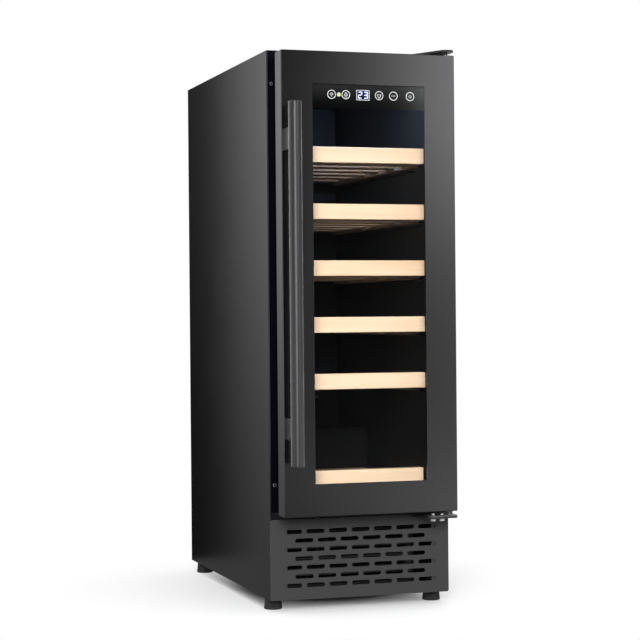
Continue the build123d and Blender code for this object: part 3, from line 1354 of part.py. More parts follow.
with BuildPart() as handle_posts:
    for post_z in POST_Z:
        with BuildSketch(front_plane(DOOR_Y)):
            with Locations((HANDLE_X, post_z)):
                RectangleRounded(POST_W, POST_H, POST_R)
                Circle(HANDLE_SCREW_R + GLUE, mode=Mode.SUBTRACT)
        extrude(amount=POST_REACH)
    rod((HANDLE_X, HANDLE_Y, HANDLE_Z), UP, HANDLE_R + GLUE, HANDLE_L, mode=Mode.SUBTRACT)
write(handle_posts.part, "handle_posts")

with BuildPart() as handle_screws:
    for post_z in POST_Z:
        rod(
            (HANDLE_X, DOOR_Y + DOOR_SKIN_T, post_z),
            BACKWARD,
            HANDLE_SCREW_HEAD_R,
            HANDLE_SCREW_HEAD_H,
        )
        rod(
            (HANDLE_X, DOOR_Y + DOOR_SKIN_T, post_z),
            FORWARD,
            HANDLE_SCREW_R,
            DOOR_SKIN_T + HANDLE_STANDOFF - HANDLE_R + HANDLE_SCREW_BITE - RUN,
        )
write(handle_screws.part, "handle_screws")

# Levelling feet: a tapered pad on a threaded stud, one at each corner
for foot_name, (foot_x, foot_y) in zip(FOOT_NAMES, FOOT_PLACES):
    with BuildPart() as foot:
        with BuildSketch(Plane(origin=(foot_x, foot_y, 0), x_dir=(1, 0, 0), z_dir=FORWARD)):
            with BuildLine():
                Polyline(
                    (0, 0),
                    (FOOT_R - FOOT_EDGE, 0),
                    (FOOT_R, FOOT_EDGE),
                    (FOOT_R, 2 * FOOT_EDGE),
                    (FOOT_TOP_R, FOOT_H - FOOT_STOP_GAP),
                    (FOOT_STUD_R, FOOT_H - FOOT_STOP_GAP),
                    (FOOT_STUD_R, FOOT_H + FOOT_STUD_L),
                    (0, FOOT_H + FOOT_STUD_L),
                    close=True,
                )
            make_face()
        revolve(axis=Axis((foot_x, foot_y, 0), UP))
    write(foot.part, f"foot_{foot_name}")
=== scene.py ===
"""Wine cooler: finishes, soft edges, printed controls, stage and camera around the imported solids."""

import json
from contextlib import contextmanager
from math import atan2, cos, pi, radians, sin

import bmesh
import bpy
from bpy.props import FloatProperty, FloatVectorProperty, IntProperty, PointerProperty
from mathutils import Matrix, Vector

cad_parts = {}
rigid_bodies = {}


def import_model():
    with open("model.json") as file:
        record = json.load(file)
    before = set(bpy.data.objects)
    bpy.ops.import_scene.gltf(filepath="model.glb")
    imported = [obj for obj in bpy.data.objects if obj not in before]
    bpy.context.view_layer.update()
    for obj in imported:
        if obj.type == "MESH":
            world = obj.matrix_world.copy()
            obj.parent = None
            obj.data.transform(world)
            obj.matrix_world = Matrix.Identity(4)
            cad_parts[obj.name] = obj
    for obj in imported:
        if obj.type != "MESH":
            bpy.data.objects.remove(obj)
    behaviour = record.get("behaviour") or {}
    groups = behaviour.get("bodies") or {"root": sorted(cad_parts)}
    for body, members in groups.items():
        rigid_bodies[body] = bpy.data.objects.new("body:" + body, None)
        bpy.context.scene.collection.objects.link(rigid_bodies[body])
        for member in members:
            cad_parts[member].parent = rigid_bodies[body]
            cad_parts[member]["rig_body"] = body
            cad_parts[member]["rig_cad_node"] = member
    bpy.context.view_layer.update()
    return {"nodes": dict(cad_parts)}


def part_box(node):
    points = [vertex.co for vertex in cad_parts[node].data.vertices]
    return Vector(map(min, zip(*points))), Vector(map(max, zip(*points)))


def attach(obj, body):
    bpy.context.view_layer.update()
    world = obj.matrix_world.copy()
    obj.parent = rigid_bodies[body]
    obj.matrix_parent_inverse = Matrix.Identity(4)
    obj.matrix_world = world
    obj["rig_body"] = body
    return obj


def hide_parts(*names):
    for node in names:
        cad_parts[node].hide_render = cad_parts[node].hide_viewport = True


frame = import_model()

SHARP_ANGLE = radians(30)
SMOOTH_ANGLE = radians(35)
FLAT_ANGLE = radians(0.6)
SAME_PLACE = 0.00001
FACING = 0.9

bl_info = {
    "name": "Wine Cooler Dressing",
    "version": (1, 0, 0),
    "blender": (4, 5, 0),
    "location": "View3D > Sidebar > Cooler",
    "description": "Finishes, soft edges, controls, stage and camera for a slim wine cooler",
    "category": "Object",
}


# Properties


def colour(label, text, value):
    """Colour property with its default."""
    return FloatVectorProperty(name=label, description=text, subtype="COLOR", default=value, min=0, max=1)


def length(label, text, value):
    """Length property with its default, in metres."""
    return FloatProperty(name=label, description=text, unit="LENGTH", default=value, min=0, precision=5)


def power(label, text, value):
    """Lamp power property with its default, in watts."""
    return FloatProperty(name=label, description=text, unit="POWER", default=value, min=0)


def angle(label, text, degrees):
    """Angle property with its default, given in degrees."""
    return FloatProperty(name=label, description=text, subtype="ANGLE", default=radians(degrees))


class CoolerColours(bpy.types.PropertyGroup):
    """Colours of the cooler's finishes"""

    cabinet: colour("Cabinet", "Satin paint of the steel shell", (0.005, 0.005, 0.0052))
    # This colour is painted shade of the gap beside the door, not a paint of its own.
    flange: colour("Flange", "Paint where the gasket seats on the shell", (0.0018, 0.0019, 0.0034))
    grille: colour("Grille", "Paint of the grille panel", (0.040, 0.040, 0.041))
    door: colour("Door", "Dark metal of the door frame", (0.115, 0.115, 0.118))
    band: colour("Band", "Print behind the top of the front pane", (0.0004, 0.0004, 0.0005))
    # This colour is a painted reflection on the print, where the print looks palest.
    band_reflection: colour("Band Fade", "Where that print is palest", (0.120, 0.120, 0.122))
    liner: colour("Liner", "Moulded lining of the cavity", (0.008, 0.008, 0.009))
    beech_pale: colour("Pale Beech", "Light wood of the front boards", (0.95, 0.72, 0.52))
    beech_deep: colour("Deep Beech", "Darker streaks in the front boards", (0.84, 0.56, 0.37))
    # Slat and rail colours are the beech darkened as painted shade under the boards.
    slat_pale: colour("Pale Slat", "Steamed wood of slats and rails", (0.41, 0.285, 0.19))
    slat_deep: colour("Deep Slat", "Darker streaks in slats and rails", (0.32, 0.205, 0.13))
    handle: colour("Handle", "Dark metal of the handle", (0.100, 0.100, 0.103))
    zinc: colour("Zinc", "Plating of the rear and handle screws", (0.72, 0.73, 0.75))
    bright_zinc: colour("Bright Zinc", "Plating of the adjuster bolts", (0.92, 0.92, 0.92))
    black_zinc: colour("Black Zinc", "Dark plating of the screws at front and top", (0.20, 0.20, 0.205))
    sheet: colour("Rear Sheet", "Zinc-coated sheet at the rear", (0.50, 0.52, 0.54))
    symbols: colour("Symbols", "Lit print of the touch keys", (0.80, 0.82, 0.85))
    digits: colour("Digits", "Segments of the display", (0.36, 0.39, 1.0))
    ready: colour("Ready Lamp", "Small lamp between the first two keys", (0.55, 0.75, 0.08))
    cavity_light: colour("Cavity Light", "Light under the ceiling of the cavity", (0.42, 0.60, 1.0))
    floor: colour("Floor", "Pale floor of the stage", (0.90, 0.90, 0.90))


class CoolerSizes(bpy.types.PropertyGroup):
    """Small sizes that the dressing adds to the solids"""

    edge: length("Edge", "Soft edge of folded and cut metal", 0.0004)
    slot_edge: length("Slot Edge", "Soft edge of the grille and its slots", 0.00015)
    board_round: length("Board Round", "Round along a shelf's front board", 0.0014)
    post_width: length("Post Width", "Width of a post between bar and door", 0.01125)
    slat_round: length("Slat Round", "Round along slats and rails", 0.0012)
    line: length("Line", "Stroke of the printed symbols", 0.0008)
    print_depth: length("Print", "Thickness of the printed layers", 0.000025)
    recess: length("Recess", "Depth of the cross or socket in a screw head", 0.0009)
    flutes: IntProperty(name="Flutes", description="Grip flutes round a foot", default=30, min=6, max=90)
    flute_depth: length("Flute Depth", "Depth of a grip flute", 0.0006)


class CoolerStudio(bpy.types.PropertyGroup):
    """Lamps and camera of the stage"""

    key: power("Key", "Large soft lamp at the front", 132.0)
    fill: power("Fill", "Soft lamp at the right", 16.0)
    top: power("Top", "Soft lamp above", 34.0)
    cards: FloatProperty(
        name="Cards", description="Level of the graded cards that reflections see", default=1.0, min=0
    )
    lens: FloatProperty(
        name="Lens", description="Focal length in millimetres", unit="CAMERA", default=103.18, min=10
    )
    turn: angle("Turn", "Heading of the view", 17.60)
    tilt: angle("Tilt", "Rise of the view", -0.12)
    roll: angle("Roll", "Lean of the view", -0.488)
    place: FloatVectorProperty(
        name="Place",
        description="Where the camera stands",
        subtype="TRANSLATION",
        unit="LENGTH",
        default=(-0.92884, -2.93518, 0.45823),
    )


def colours():
    """Colours as the scene holds them."""
    return bpy.context.scene.cooler_colours


def sizes():
    """Sizes as the scene holds them."""
    return bpy.context.scene.cooler_sizes


def toned(base, factor):
    """Colour made darker or lighter, held at white."""
    return tuple(min(1.0, channel * factor) for channel in base)


# Shader nodes


def feed(tree, socket, value):
    """Set a socket, or link it when the value is a socket itself."""
    if isinstance(value, bpy.types.NodeSocket):
        tree.links.new(value, socket)
    elif socket.type == "RGBA" and len(value) == 3:
        socket.default_value = (*value, 1)
    else:
        socket.default_value = value


def add(tree, kind, settings=None, **inputs):
    """Add a shader node with settings, and with inputs by name, their spaces written as underscores."""
    made = tree.nodes.new("ShaderNode" + kind)
    for key, value in (settings or {}).items():
        setattr(made, key, value)
    for key, value in inputs.items():
        feed(tree, made.inputs[key.replace("_", " ")], value)
    return made


def figure(tree, operation, first, second=0.0, clamp=False):
    """Result of a math node."""
    made = add(tree, "Math", {"operation": operation, "use_clamp": clamp})
    feed(tree, made.inputs[0], first)
    feed(tree, made.inputs[1], second)
    return made.outputs[0]


def combine(tree, operation, *vectors):
    """Vector math node on its vectors."""
    made = add(tree, "VectorMath", {"operation": operation})
    for socket, vector in zip(made.inputs, vectors):
        feed(tree, socket, vector)
    return made


def remap(tree, value, low, high, new_low=0.0, new_high=1.0, smooth=False):
    """Value moved from one range to another and held inside it."""
    made = add(tree, "MapRange", {"interpolation_type": "SMOOTHSTEP" if smooth else "LINEAR"}, Value=value)
    bounds = {"From Min": low, "From Max": high, "To Min": new_low, "To Max": new_high}
    for label, bound in bounds.items():
        made.inputs[label].default_value = bound
    return made.outputs[0]


def blend(tree, share, first, second, kind="MIX"):
    """Colour between two colours."""
    made = add(tree, "Mix", {"data_type": "RGBA", "blend_type": kind})
    feed(tree, made.inputs[0], share)
    feed(tree, made.inputs[6], first)
    feed(tree, made.inputs[7], second)
    return made.outputs[2]


def here(tree):
    """Object coordinates."""
    return add(tree, "TexCoord").outputs["Object"]


def axes(tree):
    """X, Y and Z of the object coordinates."""
    return add(tree, "SeparateXYZ", Vector=here(tree)).outputs


def spread(tree, vector, scale):
    """Vector stretched by a scale for each axis."""
    return add(tree, "Mapping", Vector=vector, Scale=scale).outputs[0]


def noise(tree, vector, scale, detail=2.0, roughness=0.5):
    """Noise value at a scale per metre."""
    return add(tree, "TexNoise", Vector=vector, Scale=scale, Detail=detail, Roughness=roughness).outputs[0]


def contrast(tree, value):
    """Noise value spread over the whole range from 0 to 1."""
    return remap(tree, value, 0.3, 0.7)


def either(tree, share, first, second):
    """Mix of two shaders."""
    mix = add(tree, "MixShader")
    feed(tree, mix.inputs[0], share)
    tree.links.new(first.outputs[0], mix.inputs[1])
    tree.links.new(second.outputs[0], mix.inputs[2])
    return mix


def show(tree, shader, kind="Material"):
    """Make a shader the one that a material or a world puts out."""
    found = [node for node in tree.nodes if node.type == "OUTPUT_" + kind.upper()]
    out = found[0] if found else add(tree, "Output" + kind)
    tree.links.new(shader.outputs[0], out.inputs[0])


def open_group(name, inputs, outputs):
    """New node group with named sockets; gives its tree, its input sockets and its output sockets."""
    group = bpy.data.node_groups.new(name, "ShaderNodeTree")
    for label, kind, value in inputs:
        socket = group.interface.new_socket(label, in_out="INPUT", socket_type="NodeSocket" + kind)
        if value is not None:
            socket.default_value = value
    for label, kind in outputs:
        group.interface.new_socket(label, in_out="OUTPUT", socket_type="NodeSocket" + kind)
    return group, group.nodes.new("NodeGroupInput").outputs, group.nodes.new("NodeGroupOutput").inputs


def place_group(tree, name, **inputs):
    """Place an effect in a material with its own values."""
    return add(tree, "Group", {"node_tree": bpy.data.node_groups[name]}, **inputs).outputs


def make_edge_rub():
    """Mask that shows where an edge is turned, broken up as handling leaves it."""
    tree, given, result = open_group("edge_rub", [("Width", "Float", 0.001)], [("Mask", "Float")])
    round_normal = add(tree, "Bevel", {"samples": 4}, Radius=given["Width"]).outputs[0]
    flat_normal = add(tree, "NewGeometry").outputs["Normal"]
    alike = combine(tree, "DOT_PRODUCT", round_normal, flat_normal).outputs["Value"]
    turned = remap(tree, alike, 0.995, 0.85)
    patches = remap(tree, noise(tree, here(tree), 55, 4, 0.6), 0.35, 0.65, 0.25, 1.0)
    feed(tree, result["Mask"], figure(tree, "MULTIPLY", turned, patches))


def make_film_grain():
    """Fine grain of a sprayed or moulded surface, and the broad clouding of its gloss."""
    tree, given, result = open_group(
        "film_grain",
        [("Scale", "Float", 900.0), ("Cloud Scale", "Float", 7.0)],
        [("Tone", "Float"), ("Cloud", "Float"), ("Height", "Float")],
    )
    place = here(tree)
    fine = noise(tree, place, given["Scale"], 2.0, 0.6)
    broad = noise(tree, place, given["Cloud Scale"], 4.0, 0.6)
    feed(tree, result["Tone"], contrast(tree, fine))
    feed(tree, result["Cloud"], contrast(tree, broad))
    feed(tree, result["Height"], fine)


def make_beech_grain():
    """Beech: soft bands and streaks along X, with short dark flecks; each board has its place in the log."""
    tree, given, result = open_group(
        "beech_grain",
        [
            ("Vector", "Vector", None),
            ("Board", "Float", 0.0),
            ("Pale", "Color", None),
            ("Deep", "Color", None),
        ],
        [("Colour", "Color"), ("Roughness", "Float"), ("Height", "Float")],
    )
    shift = add(tree, "CombineXYZ")
    for axis, step in enumerate((3.1, 1.7, 2.3)):
        feed(tree, shift.inputs[axis], figure(tree, "MULTIPLY", given["Board"], step))
    log = combine(tree, "ADD", given["Vector"], shift.outputs[0]).outputs[0]
    bands = noise(tree, spread(tree, log, (2.5, 45, 45)), 1.0, 2.0, 0.5)
    streaks = noise(tree, spread(tree, log, (9, 420, 420)), 1.0, 4.0, 0.65)
    flecks = noise(tree, spread(tree, log, (150, 1500, 1500)), 1.0, 1.0, 0.5)
    band_part = figure(tree, "MULTIPLY", remap(tree, bands, 0.32, 0.68), 0.45)
    streak_part = figure(tree, "MULTIPLY", contrast(tree, streaks), 0.55)
    lines = figure(tree, "ADD", band_part, streak_part)
    own_tone = remap(tree, given["Board"], 0.0, 1.0, -0.12, 0.12)
    tone = figure(tree, "ADD", lines, own_tone, clamp=True)
    wood = blend(tree, tone, given["Pale"], given["Deep"])
    fleck = remap(tree, flecks, 0.60, 0.72, 0.0, 0.45)
    feed(tree, result["Colour"], blend(tree, fleck, wood, given["Deep"], "MULTIPLY"))
    feed(tree, result["Roughness"], remap(tree, streaks, 0.3, 0.7, 0.40, 0.56))
    feed(tree, result["Height"], figure(tree, "SUBTRACT", streaks, fleck))


def make_brush_lines():
    """Fine lines that a brush or polishing belt leaves along one axis."""
    tree, given, result = open_group(
        "brush_lines", [("Scale", "Vector", (4000, 4000, 12))], [("Tone", "Float"), ("Height", "Float")]
    )
    lines = noise(tree, spread(tree, here(tree), given["Scale"]), 1.0, 3.0, 0.6)
    feed(tree, result["Tone"], contrast(tree, lines))
    feed(tree, result["Height"], lines)


def make_spangle():
    """Crystal patches of a zinc coating."""
    tree, given, result = open_group(
        "spangle", [("Scale", "Float", 180.0)], [("Tone", "Float"), ("Roughness", "Float")]
    )
    place = here(tree)
    warp = add(tree, "TexNoise", Vector=place, Scale=60.0, Detail=2.0).outputs[1]
    bent = add(tree, "Mix", {"data_type": "VECTOR"})
    feed(tree, bent.inputs[0], 0.012)
    feed(tree, bent.inputs[4], place)
    feed(tree, bent.inputs[5], warp)
    cells = add(tree, "TexVoronoi", Vector=bent.outputs[1], Scale=given["Scale"]).outputs["Color"]
    shade = add(tree, "SeparateColor", Color=cells).outputs[0]
    feed(tree, result["Tone"], shade)
    feed(tree, result["Roughness"], remap(tree, shade, 0.0, 1.0, 0.36, 0.44))


# Finishes


def new_finish(name):
    """Material with one Principled shader, in the place of a packed one; gives its tree and the shader."""
    if name in bpy.data.materials:
        bpy.data.materials.remove(bpy.data.materials[name])
    finish = bpy.data.materials.new(name)
    finish.use_nodes = True
    tree = finish.node_tree
    tree.nodes.clear()
    shader = add(tree, "BsdfPrincipled")
    show(tree, shader)
    return tree, shader


def press(tree, shader, height, strength, distance):
    """Give a shader the relief of a height."""
    bump = add(tree, "Bump", Height=height, Strength=strength, Distance=distance)
    tree.links.new(bump.outputs[0], shader.inputs["Normal"])


def film(name, base, rough, grain, relief, metallic=0.0, rub=0.0, rub_to=(0.2, 0.2, 0.2), varied=0.10):
    """Paint, plating or plastic: colour with fine tone, clouded gloss, small relief and rubbed edges."""
    tree, shader = new_finish(name)
    grained = place_group(tree, "film_grain", Scale=grain, Cloud_Scale=6.0)
    tint = blend(tree, grained["Tone"], toned(base, 1 - varied), toned(base, 1 + varied))
    if rub:
        worn = figure(tree, "MULTIPLY", place_group(tree, "edge_rub", Width=0.0009)["Mask"], rub)
        tint = blend(tree, worn, tint, rub_to)
    feed(tree, shader.inputs["Base Color"], tint)
    feed(tree, shader.inputs["Roughness"], remap(tree, grained["Cloud"], 0.0, 1.0, rough * 0.9, rough * 1.1))
    shader.inputs["Metallic"].default_value = metallic
    press(tree, shader, grained["Height"], 0.25, relief)
    return tree, shader


def make_paints():
    """Paints and platings of the metal pieces."""
    tint = colours()
    make_cabinet_paint()
    film("grille_paint", tint.grille, rough=0.46, grain=2600.0, relief=0.00008, rub=0.22)
    film(
        "door_paint",
        tint.door,
        rough=0.20,
        grain=2600.0,
        relief=0.00003,
        metallic=1.0,
        rub=0.20,
        rub_to=(0.3, 0.3, 0.31),
    )
    hinge = {"grain": 1800.0, "relief": 0.00008, "rub": 0.45}
    film("hinge_paint", (0.018, 0.018, 0.019), rough=0.42, rub_to=(0.25, 0.25, 0.26), **hinge)
    film("plate_paint", (0.075, 0.075, 0.077), rough=0.40, rub_to=(0.3, 0.3, 0.31), **hinge)
    shell = {"grain": 420.0, "relief": 0.00012, "rub": 0.4, "rub_to": (0.15, 0.15, 0.15)}
    film("compressor_paint", (0.012, 0.012, 0.013), rough=0.30, **shell)
    film("coated_fins", (0.030, 0.030, 0.032), rough=0.45, grain=800.0, relief=0.00006, varied=0.2)
    metal = {"metallic": 1.0}
    film("bare_aluminium", (0.66, 0.67, 0.69), rough=0.34, grain=800.0, relief=0.00006, varied=0.08, **metal)
    film("spacer_aluminium", (0.10, 0.10, 0.105), rough=0.38, grain=900.0, relief=0.00004, **metal)
    film("copper", (0.72, 0.36, 0.22), rough=0.30, grain=500.0, relief=0.00005, varied=0.18, **metal)
    # Near-black, weakly glossy finish of screw recesses: painted shade.
    recess_shader = film("recess_oil", (0.006, 0.006, 0.006), rough=0.55, grain=1500.0, relief=0.00004, varied=0.3)[1]
    recess_shader.inputs["Specular IOR Level"].default_value = 0.1
    make_zinc("zinc_steel", tint.zinc, scale=700.0, metallic=0.8)
    make_zinc("bright_zinc", tint.bright_zinc, scale=900.0, metallic=0.25)
    make_zinc("black_zinc", tint.black_zinc, scale=900.0, metallic=0.6)
    make_zinc("sheet_steel", tint.sheet, scale=420.0, metallic=0.7)
    make_handle_metal("handle_metal", sheen=0.5)
    make_handle_metal("post_metal", sheen=0.0)


def make_plastics():
    """Plastics, rubber, foam and glass."""
    film("liner_plastic", colours().liner, rough=0.42, grain=1500.0, relief=0.00006)
    film("black_plastic", (0.012, 0.012, 0.013), rough=0.45, grain=1700.0, relief=0.00010)
    foot = {"rub": 0.3, "rub_to": (0.08, 0.07, 0.07)}
    film("foot_plastic", (0.028, 0.027, 0.028), rough=0.50, grain=1500.0, relief=0.00012, **foot)
    film("black_rubber", (0.016, 0.016, 0.017), rough=0.62, grain=900.0, relief=0.00010, varied=0.2)
    film("foam", (0.72, 0.66, 0.42), rough=0.85, grain=600.0, relief=0.00080, varied=0.15)
    film("white_plastic", (0.72, 0.72, 0.70), rough=0.40, grain=1500.0, relief=0.00005, varied=0.03)
    film("circuit_board", (0.015, 0.10, 0.045), rough=0.35, grain=700.0, relief=0.00010, varied=0.35)
    film("display_plastic", (0.010, 0.010, 0.014), rough=0.15, grain=1500.0, relief=0.00002)
    make_band()
    make_glass()


def make_woods():
    """Beech of boards, slats and rails; slats and rails are darker as painted shade under the boards."""
    tint = colours()
    make_beech("beech", (0, 0, 0), tint.beech_pale, tint.beech_deep)
    make_beech("beech_slat", (0, 0, 0), tint.slat_pale, tint.slat_deep)
    make_beech("beech_rail", (0, 0, pi / 2), tint.slat_pale, tint.slat_deep)


def make_lights():
    """Lit plastic and print."""
    tint = colours()
    make_glow("light_plastic", tint.cavity_light, strength=38.0, base=(0.75, 0.78, 0.80), rough=0.35)
    make_glow("symbol_print", tint.symbols, strength=0.44, base=(0.6, 0.6, 0.6), rough=0.4)
    make_glow("digit_light", tint.digits, strength=1.9, base=(0.3, 0.3, 0.4), rough=0.3)
    make_glow("ready_light", tint.ready, strength=1.0, base=(0.3, 0.4, 0.1), rough=0.3)


def make_cabinet_paint():
    """Satin paint of the shell; on the folded front edge beside the door it is darker with painted shade, and
    smoother.
    """
    base = colours().cabinet
    tree, shader = film("cabinet_paint", base, rough=0.25, grain=2600.0, relief=0.00005, rub=0.25)
    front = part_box("left_side_panel")[0].y
    # Mask of the folded front edge, which takes painted shade and a smoother gloss.
    flange = remap(tree, axes(tree)[1], front + 0.0004, front + 0.0001)
    for label, shade_and_gloss in (("Base Color", colours().flange), ("Roughness", (0.10, 0.10, 0.10))):
        socket = shader.inputs[label]
        feed(tree, socket, blend(tree, flange, socket.links[0].from_socket, shade_and_gloss))


def make_zinc(name, base, scale, metallic):
    """Zinc plating with its crystal patches."""
    tree, shader = new_finish(name)
    patches = place_group(tree, "spangle", Scale=scale)
    grained = place_group(tree, "film_grain", Scale=1400.0)
    tint = blend(tree, patches["Tone"], toned(base, 0.93), toned(base, 1.05))
    feed(tree, shader.inputs["Base Color"], tint)
    feed(tree, shader.inputs["Roughness"], patches["Roughness"])
    shader.inputs["Metallic"].default_value = metallic
    press(tree, shader, grained["Height"], 0.2, 0.00004)


def make_beech(name, turn, pale, deep):
    """Oiled beech, its grain along X and turned by an angle for rails."""
    tree, shader = new_finish(name)
    turned = add(tree, "Mapping", Vector=here(tree), Rotation=turn).outputs[0]
    board = add(tree, "Attribute", {"attribute_name": "board"}).outputs["Fac"]
    wood = place_group(tree, "beech_grain", Vector=turned, Board=board, Pale=pale, Deep=deep)
    rub = place_group(tree, "edge_rub", Width=0.0012)["Mask"]
    worn = blend(tree, figure(tree, "MULTIPLY", rub, 0.25), wood["Colour"], pale)
    feed(tree, shader.inputs["Base Color"], worn)
    feed(tree, shader.inputs["Roughness"], wood["Roughness"])
    press(tree, shader, wood["Height"], 0.35, 0.00020)


def make_band():
    """Black print with a painted reflection, paler towards its top and its right end."""
    tree, shader = new_finish("band_print")
    across, _, up = axes(tree)
    grained = place_group(tree, "film_grain", Scale=1500.0)
    rise = remap(tree, up, 0.780, 0.815)
    end = remap(tree, across, 0.0, 0.0895)
    # Painted reflection: paler towards the top and the right end, as the light grades across the door.
    top_reflection = figure(tree, "MULTIPLY", figure(tree, "POWER", rise, 1.6), 0.163)
    end_reflection = figure(tree, "MULTIPLY", figure(tree, "POWER", end, 3.6), remap(tree, rise, 0, 1, 0.27, 0.58))
    speckle = remap(tree, grained["Tone"], 0, 1, 0.9, 1.0)
    share = figure(tree, "MULTIPLY", figure(tree, "ADD", top_reflection, end_reflection), speckle)
    feed(tree, shader.inputs["Base Color"], blend(tree, share, colours().band, colours().band_reflection))
    feed(tree, shader.inputs["Roughness"], remap(tree, grained["Cloud"], 0, 1, 0.30, 0.36))


def make_handle_metal(name, sheen):
    """Dark satin metal with polishing lines along the bar."""
    tree, shader = new_finish(name)
    drawn = place_group(tree, "brush_lines", Scale=(2600.0, 2600.0, 40.0))
    grained = place_group(tree, "film_grain", Scale=1600.0, Cloud_Scale=9.0)
    lined = blend(tree, drawn["Tone"], toned(colours().handle, 0.9), toned(colours().handle, 1.12))
    worn = figure(tree, "MULTIPLY", place_group(tree, "edge_rub", Width=0.001)["Mask"], 0.3)
    feed(tree, shader.inputs["Base Color"], blend(tree, worn, lined, (0.4, 0.4, 0.41)))
    feed(tree, shader.inputs["Roughness"], remap(tree, grained["Cloud"], 0.0, 1.0, 0.27, 0.33))
    shader.inputs["Metallic"].default_value = 0.8
    shader.inputs["Sheen Weight"].default_value = sheen
    shader.inputs["Sheen Roughness"].default_value = 0.3
    press(tree, shader, drawn["Height"], 0.06, 0.00003)


def make_glass():
    """Clear pane that lets lamps through; a faint clouding of its gloss stands for wiping."""
    tree, shader = new_finish("clear_glass")
    wiped = place_group(tree, "film_grain", Scale=500.0, Cloud_Scale=5.0)
    clear_tint = (0.985, 0.99, 0.988)
    feed(tree, shader.inputs["Base Color"], blend(tree, wiped["Cloud"], (0.975, 0.985, 0.98), clear_tint))
    feed(tree, shader.inputs["Roughness"], remap(tree, wiped["Cloud"], 0.0, 1.0, 0.0, 0.02))
    shader.inputs["Transmission Weight"].default_value = 1.0
    shader.inputs["IOR"].default_value = 1.45
    shader.inputs["Specular Tint"].default_value = (0.2, 0.2, 0.2, 1)
    path = add(tree, "LightPath").outputs
    clear = add(tree, "BsdfTransparent", Color=clear_tint)
    lit = figure(tree, "MAXIMUM", path["Is Shadow Ray"], path["Is Diffuse Ray"])
    show(tree, either(tree, lit, shader, clear))


def make_glow(name, light, strength, base, rough):
    """Lit plastic or print, a little uneven."""
    tree, shader = new_finish(name)
    grained = place_group(tree, "film_grain", Scale=800.0, Cloud_Scale=40.0)
    feed(tree, shader.inputs["Base Color"], blend(tree, grained["Tone"], toned(base, 0.95), base))
    shader.inputs["Roughness"].default_value = rough
    feed(tree, shader.inputs["Emission Color"], blend(tree, grained["Cloud"], toned(light, 0.92), light))
    shader.inputs["Emission Strength"].default_value = strength


# Modelling


def clear_selection():
    """Leave nothing selected."""
    bpy.ops.object.select_all(action="DESELECT")


def take(*pieces):
    """Select pieces and make the first one active."""
    clear_selection()
    for piece in pieces:
        piece.select_set(True)
    bpy.context.view_layer.objects.active = pieces[0]
    return pieces[0]


def discard(*pieces):
    """Delete pieces that have served."""
    take(*pieces)
    bpy.ops.object.delete()


def fix_place():
    """Apply the place, turn and scale of the selected pieces to their meshes."""
    bpy.ops.object.transform_apply(location=True, rotation=True, scale=True)


@contextmanager
def editing(piece):
    """Edit mode on one piece."""
    take(piece)
    bpy.ops.object.mode_set(mode="EDIT")
    yield
    bpy.ops.object.mode_set(mode="OBJECT")


def begun(name):
    """Primitive just added, named, with its place applied to its mesh."""
    fix_place()
    piece = bpy.context.active_object
    piece.name = name
    return piece


def start_block(name, middle, size, turn=(0, 0, 0)):
    """Block of a size about a middle point, turned."""
    clear_selection()
    bpy.ops.mesh.primitive_cube_add(size=1, location=middle, rotation=turn, scale=size)
    return begun(name)


def start_box(name, low, high):
    """Box between two corners."""
    low, high = Vector(low), Vector(high)
    return start_block(name, (low + high) / 2, high - low)


def start_rod(name, middle, radius, depth, sides, axis="Z"):
    """Round rod about a middle point along Y or Z."""
    clear_selection()
    turn = {"Y": (pi / 2, 0, 0), "Z": (0, 0, 0)}[axis]
    bpy.ops.mesh.primitive_cylinder_add(
        vertices=sides, radius=radius, depth=depth, location=middle, rotation=turn
    )
    return begun(name)


def pick(piece, kind, test):
    """In edit mode, select only the faces, edges or verts that pass a test."""
    bpy.ops.mesh.select_mode(type={"faces": "FACE", "edges": "EDGE", "verts": "VERT"}[kind])
    bpy.ops.mesh.select_all(action="DESELECT")
    form = bmesh.from_edit_mesh(piece.data)
    form.normal_update()
    for part in getattr(form, kind):
        if test(part):
            part.select_set(True)
    form.select_flush_mode()
    bmesh.update_edit_mesh(piece.data)


def round_corners(piece, radius, segments):
    """Round the edges of a flat piece that run along Y."""
    with editing(piece):
        pick(piece, "edges", lambda edge: abs((edge.verts[0].co - edge.verts[1].co).y) > SAME_PLACE)
        bpy.ops.mesh.bevel(offset=radius, segments=segments)
    return piece


def hollow(piece, width):
    """Open a flat piece that faces along Y, leaving a rim of a width."""
    with editing(piece):
        pick(piece, "faces", lambda face: abs(face.normal.y) > FACING)
        bpy.ops.mesh.inset(thickness=width)
        bpy.ops.mesh.bridge_edge_loops()
    return piece


def soften(piece, width, segments=2):
    """Round the sharp edges of a piece with an applied bevel; flat faces stay flat in the smooth shading."""
    take(piece)
    bevel = piece.modifiers.new("soft_edges", "BEVEL")
    bevel.width = width
    bevel.segments = segments
    bevel.limit_method = "ANGLE"
    bevel.angle_limit = SHARP_ANGLE
    bpy.ops.object.modifier_apply(modifier=bevel.name)
    bpy.ops.object.shade_smooth_by_angle(angle=SMOOTH_ANGLE)
    weigh = piece.modifiers.new("flat_faces", "WEIGHTED_NORMAL")
    weigh.keep_sharp = True
    bpy.ops.object.modifier_apply(modifier=weigh.name)
    return piece


def join(name, pieces):
    """Join pieces into the first one."""
    piece = take(*pieces)
    if len(pieces) > 1:
        bpy.ops.object.join()
    piece.name = name
    piece.data.name = name
    return piece


def copied(piece, name, move=(0, 0, 0), turn=(0, 0, 0)):
    """Copy of a piece with its own mesh, turned and moved in its mesh."""
    take(piece)
    bpy.ops.object.duplicate()
    twin = bpy.context.active_object
    twin.name = name
    twin.data.name = name
    twin.rotation_euler = turn
    twin.location = move
    fix_place()
    return twin


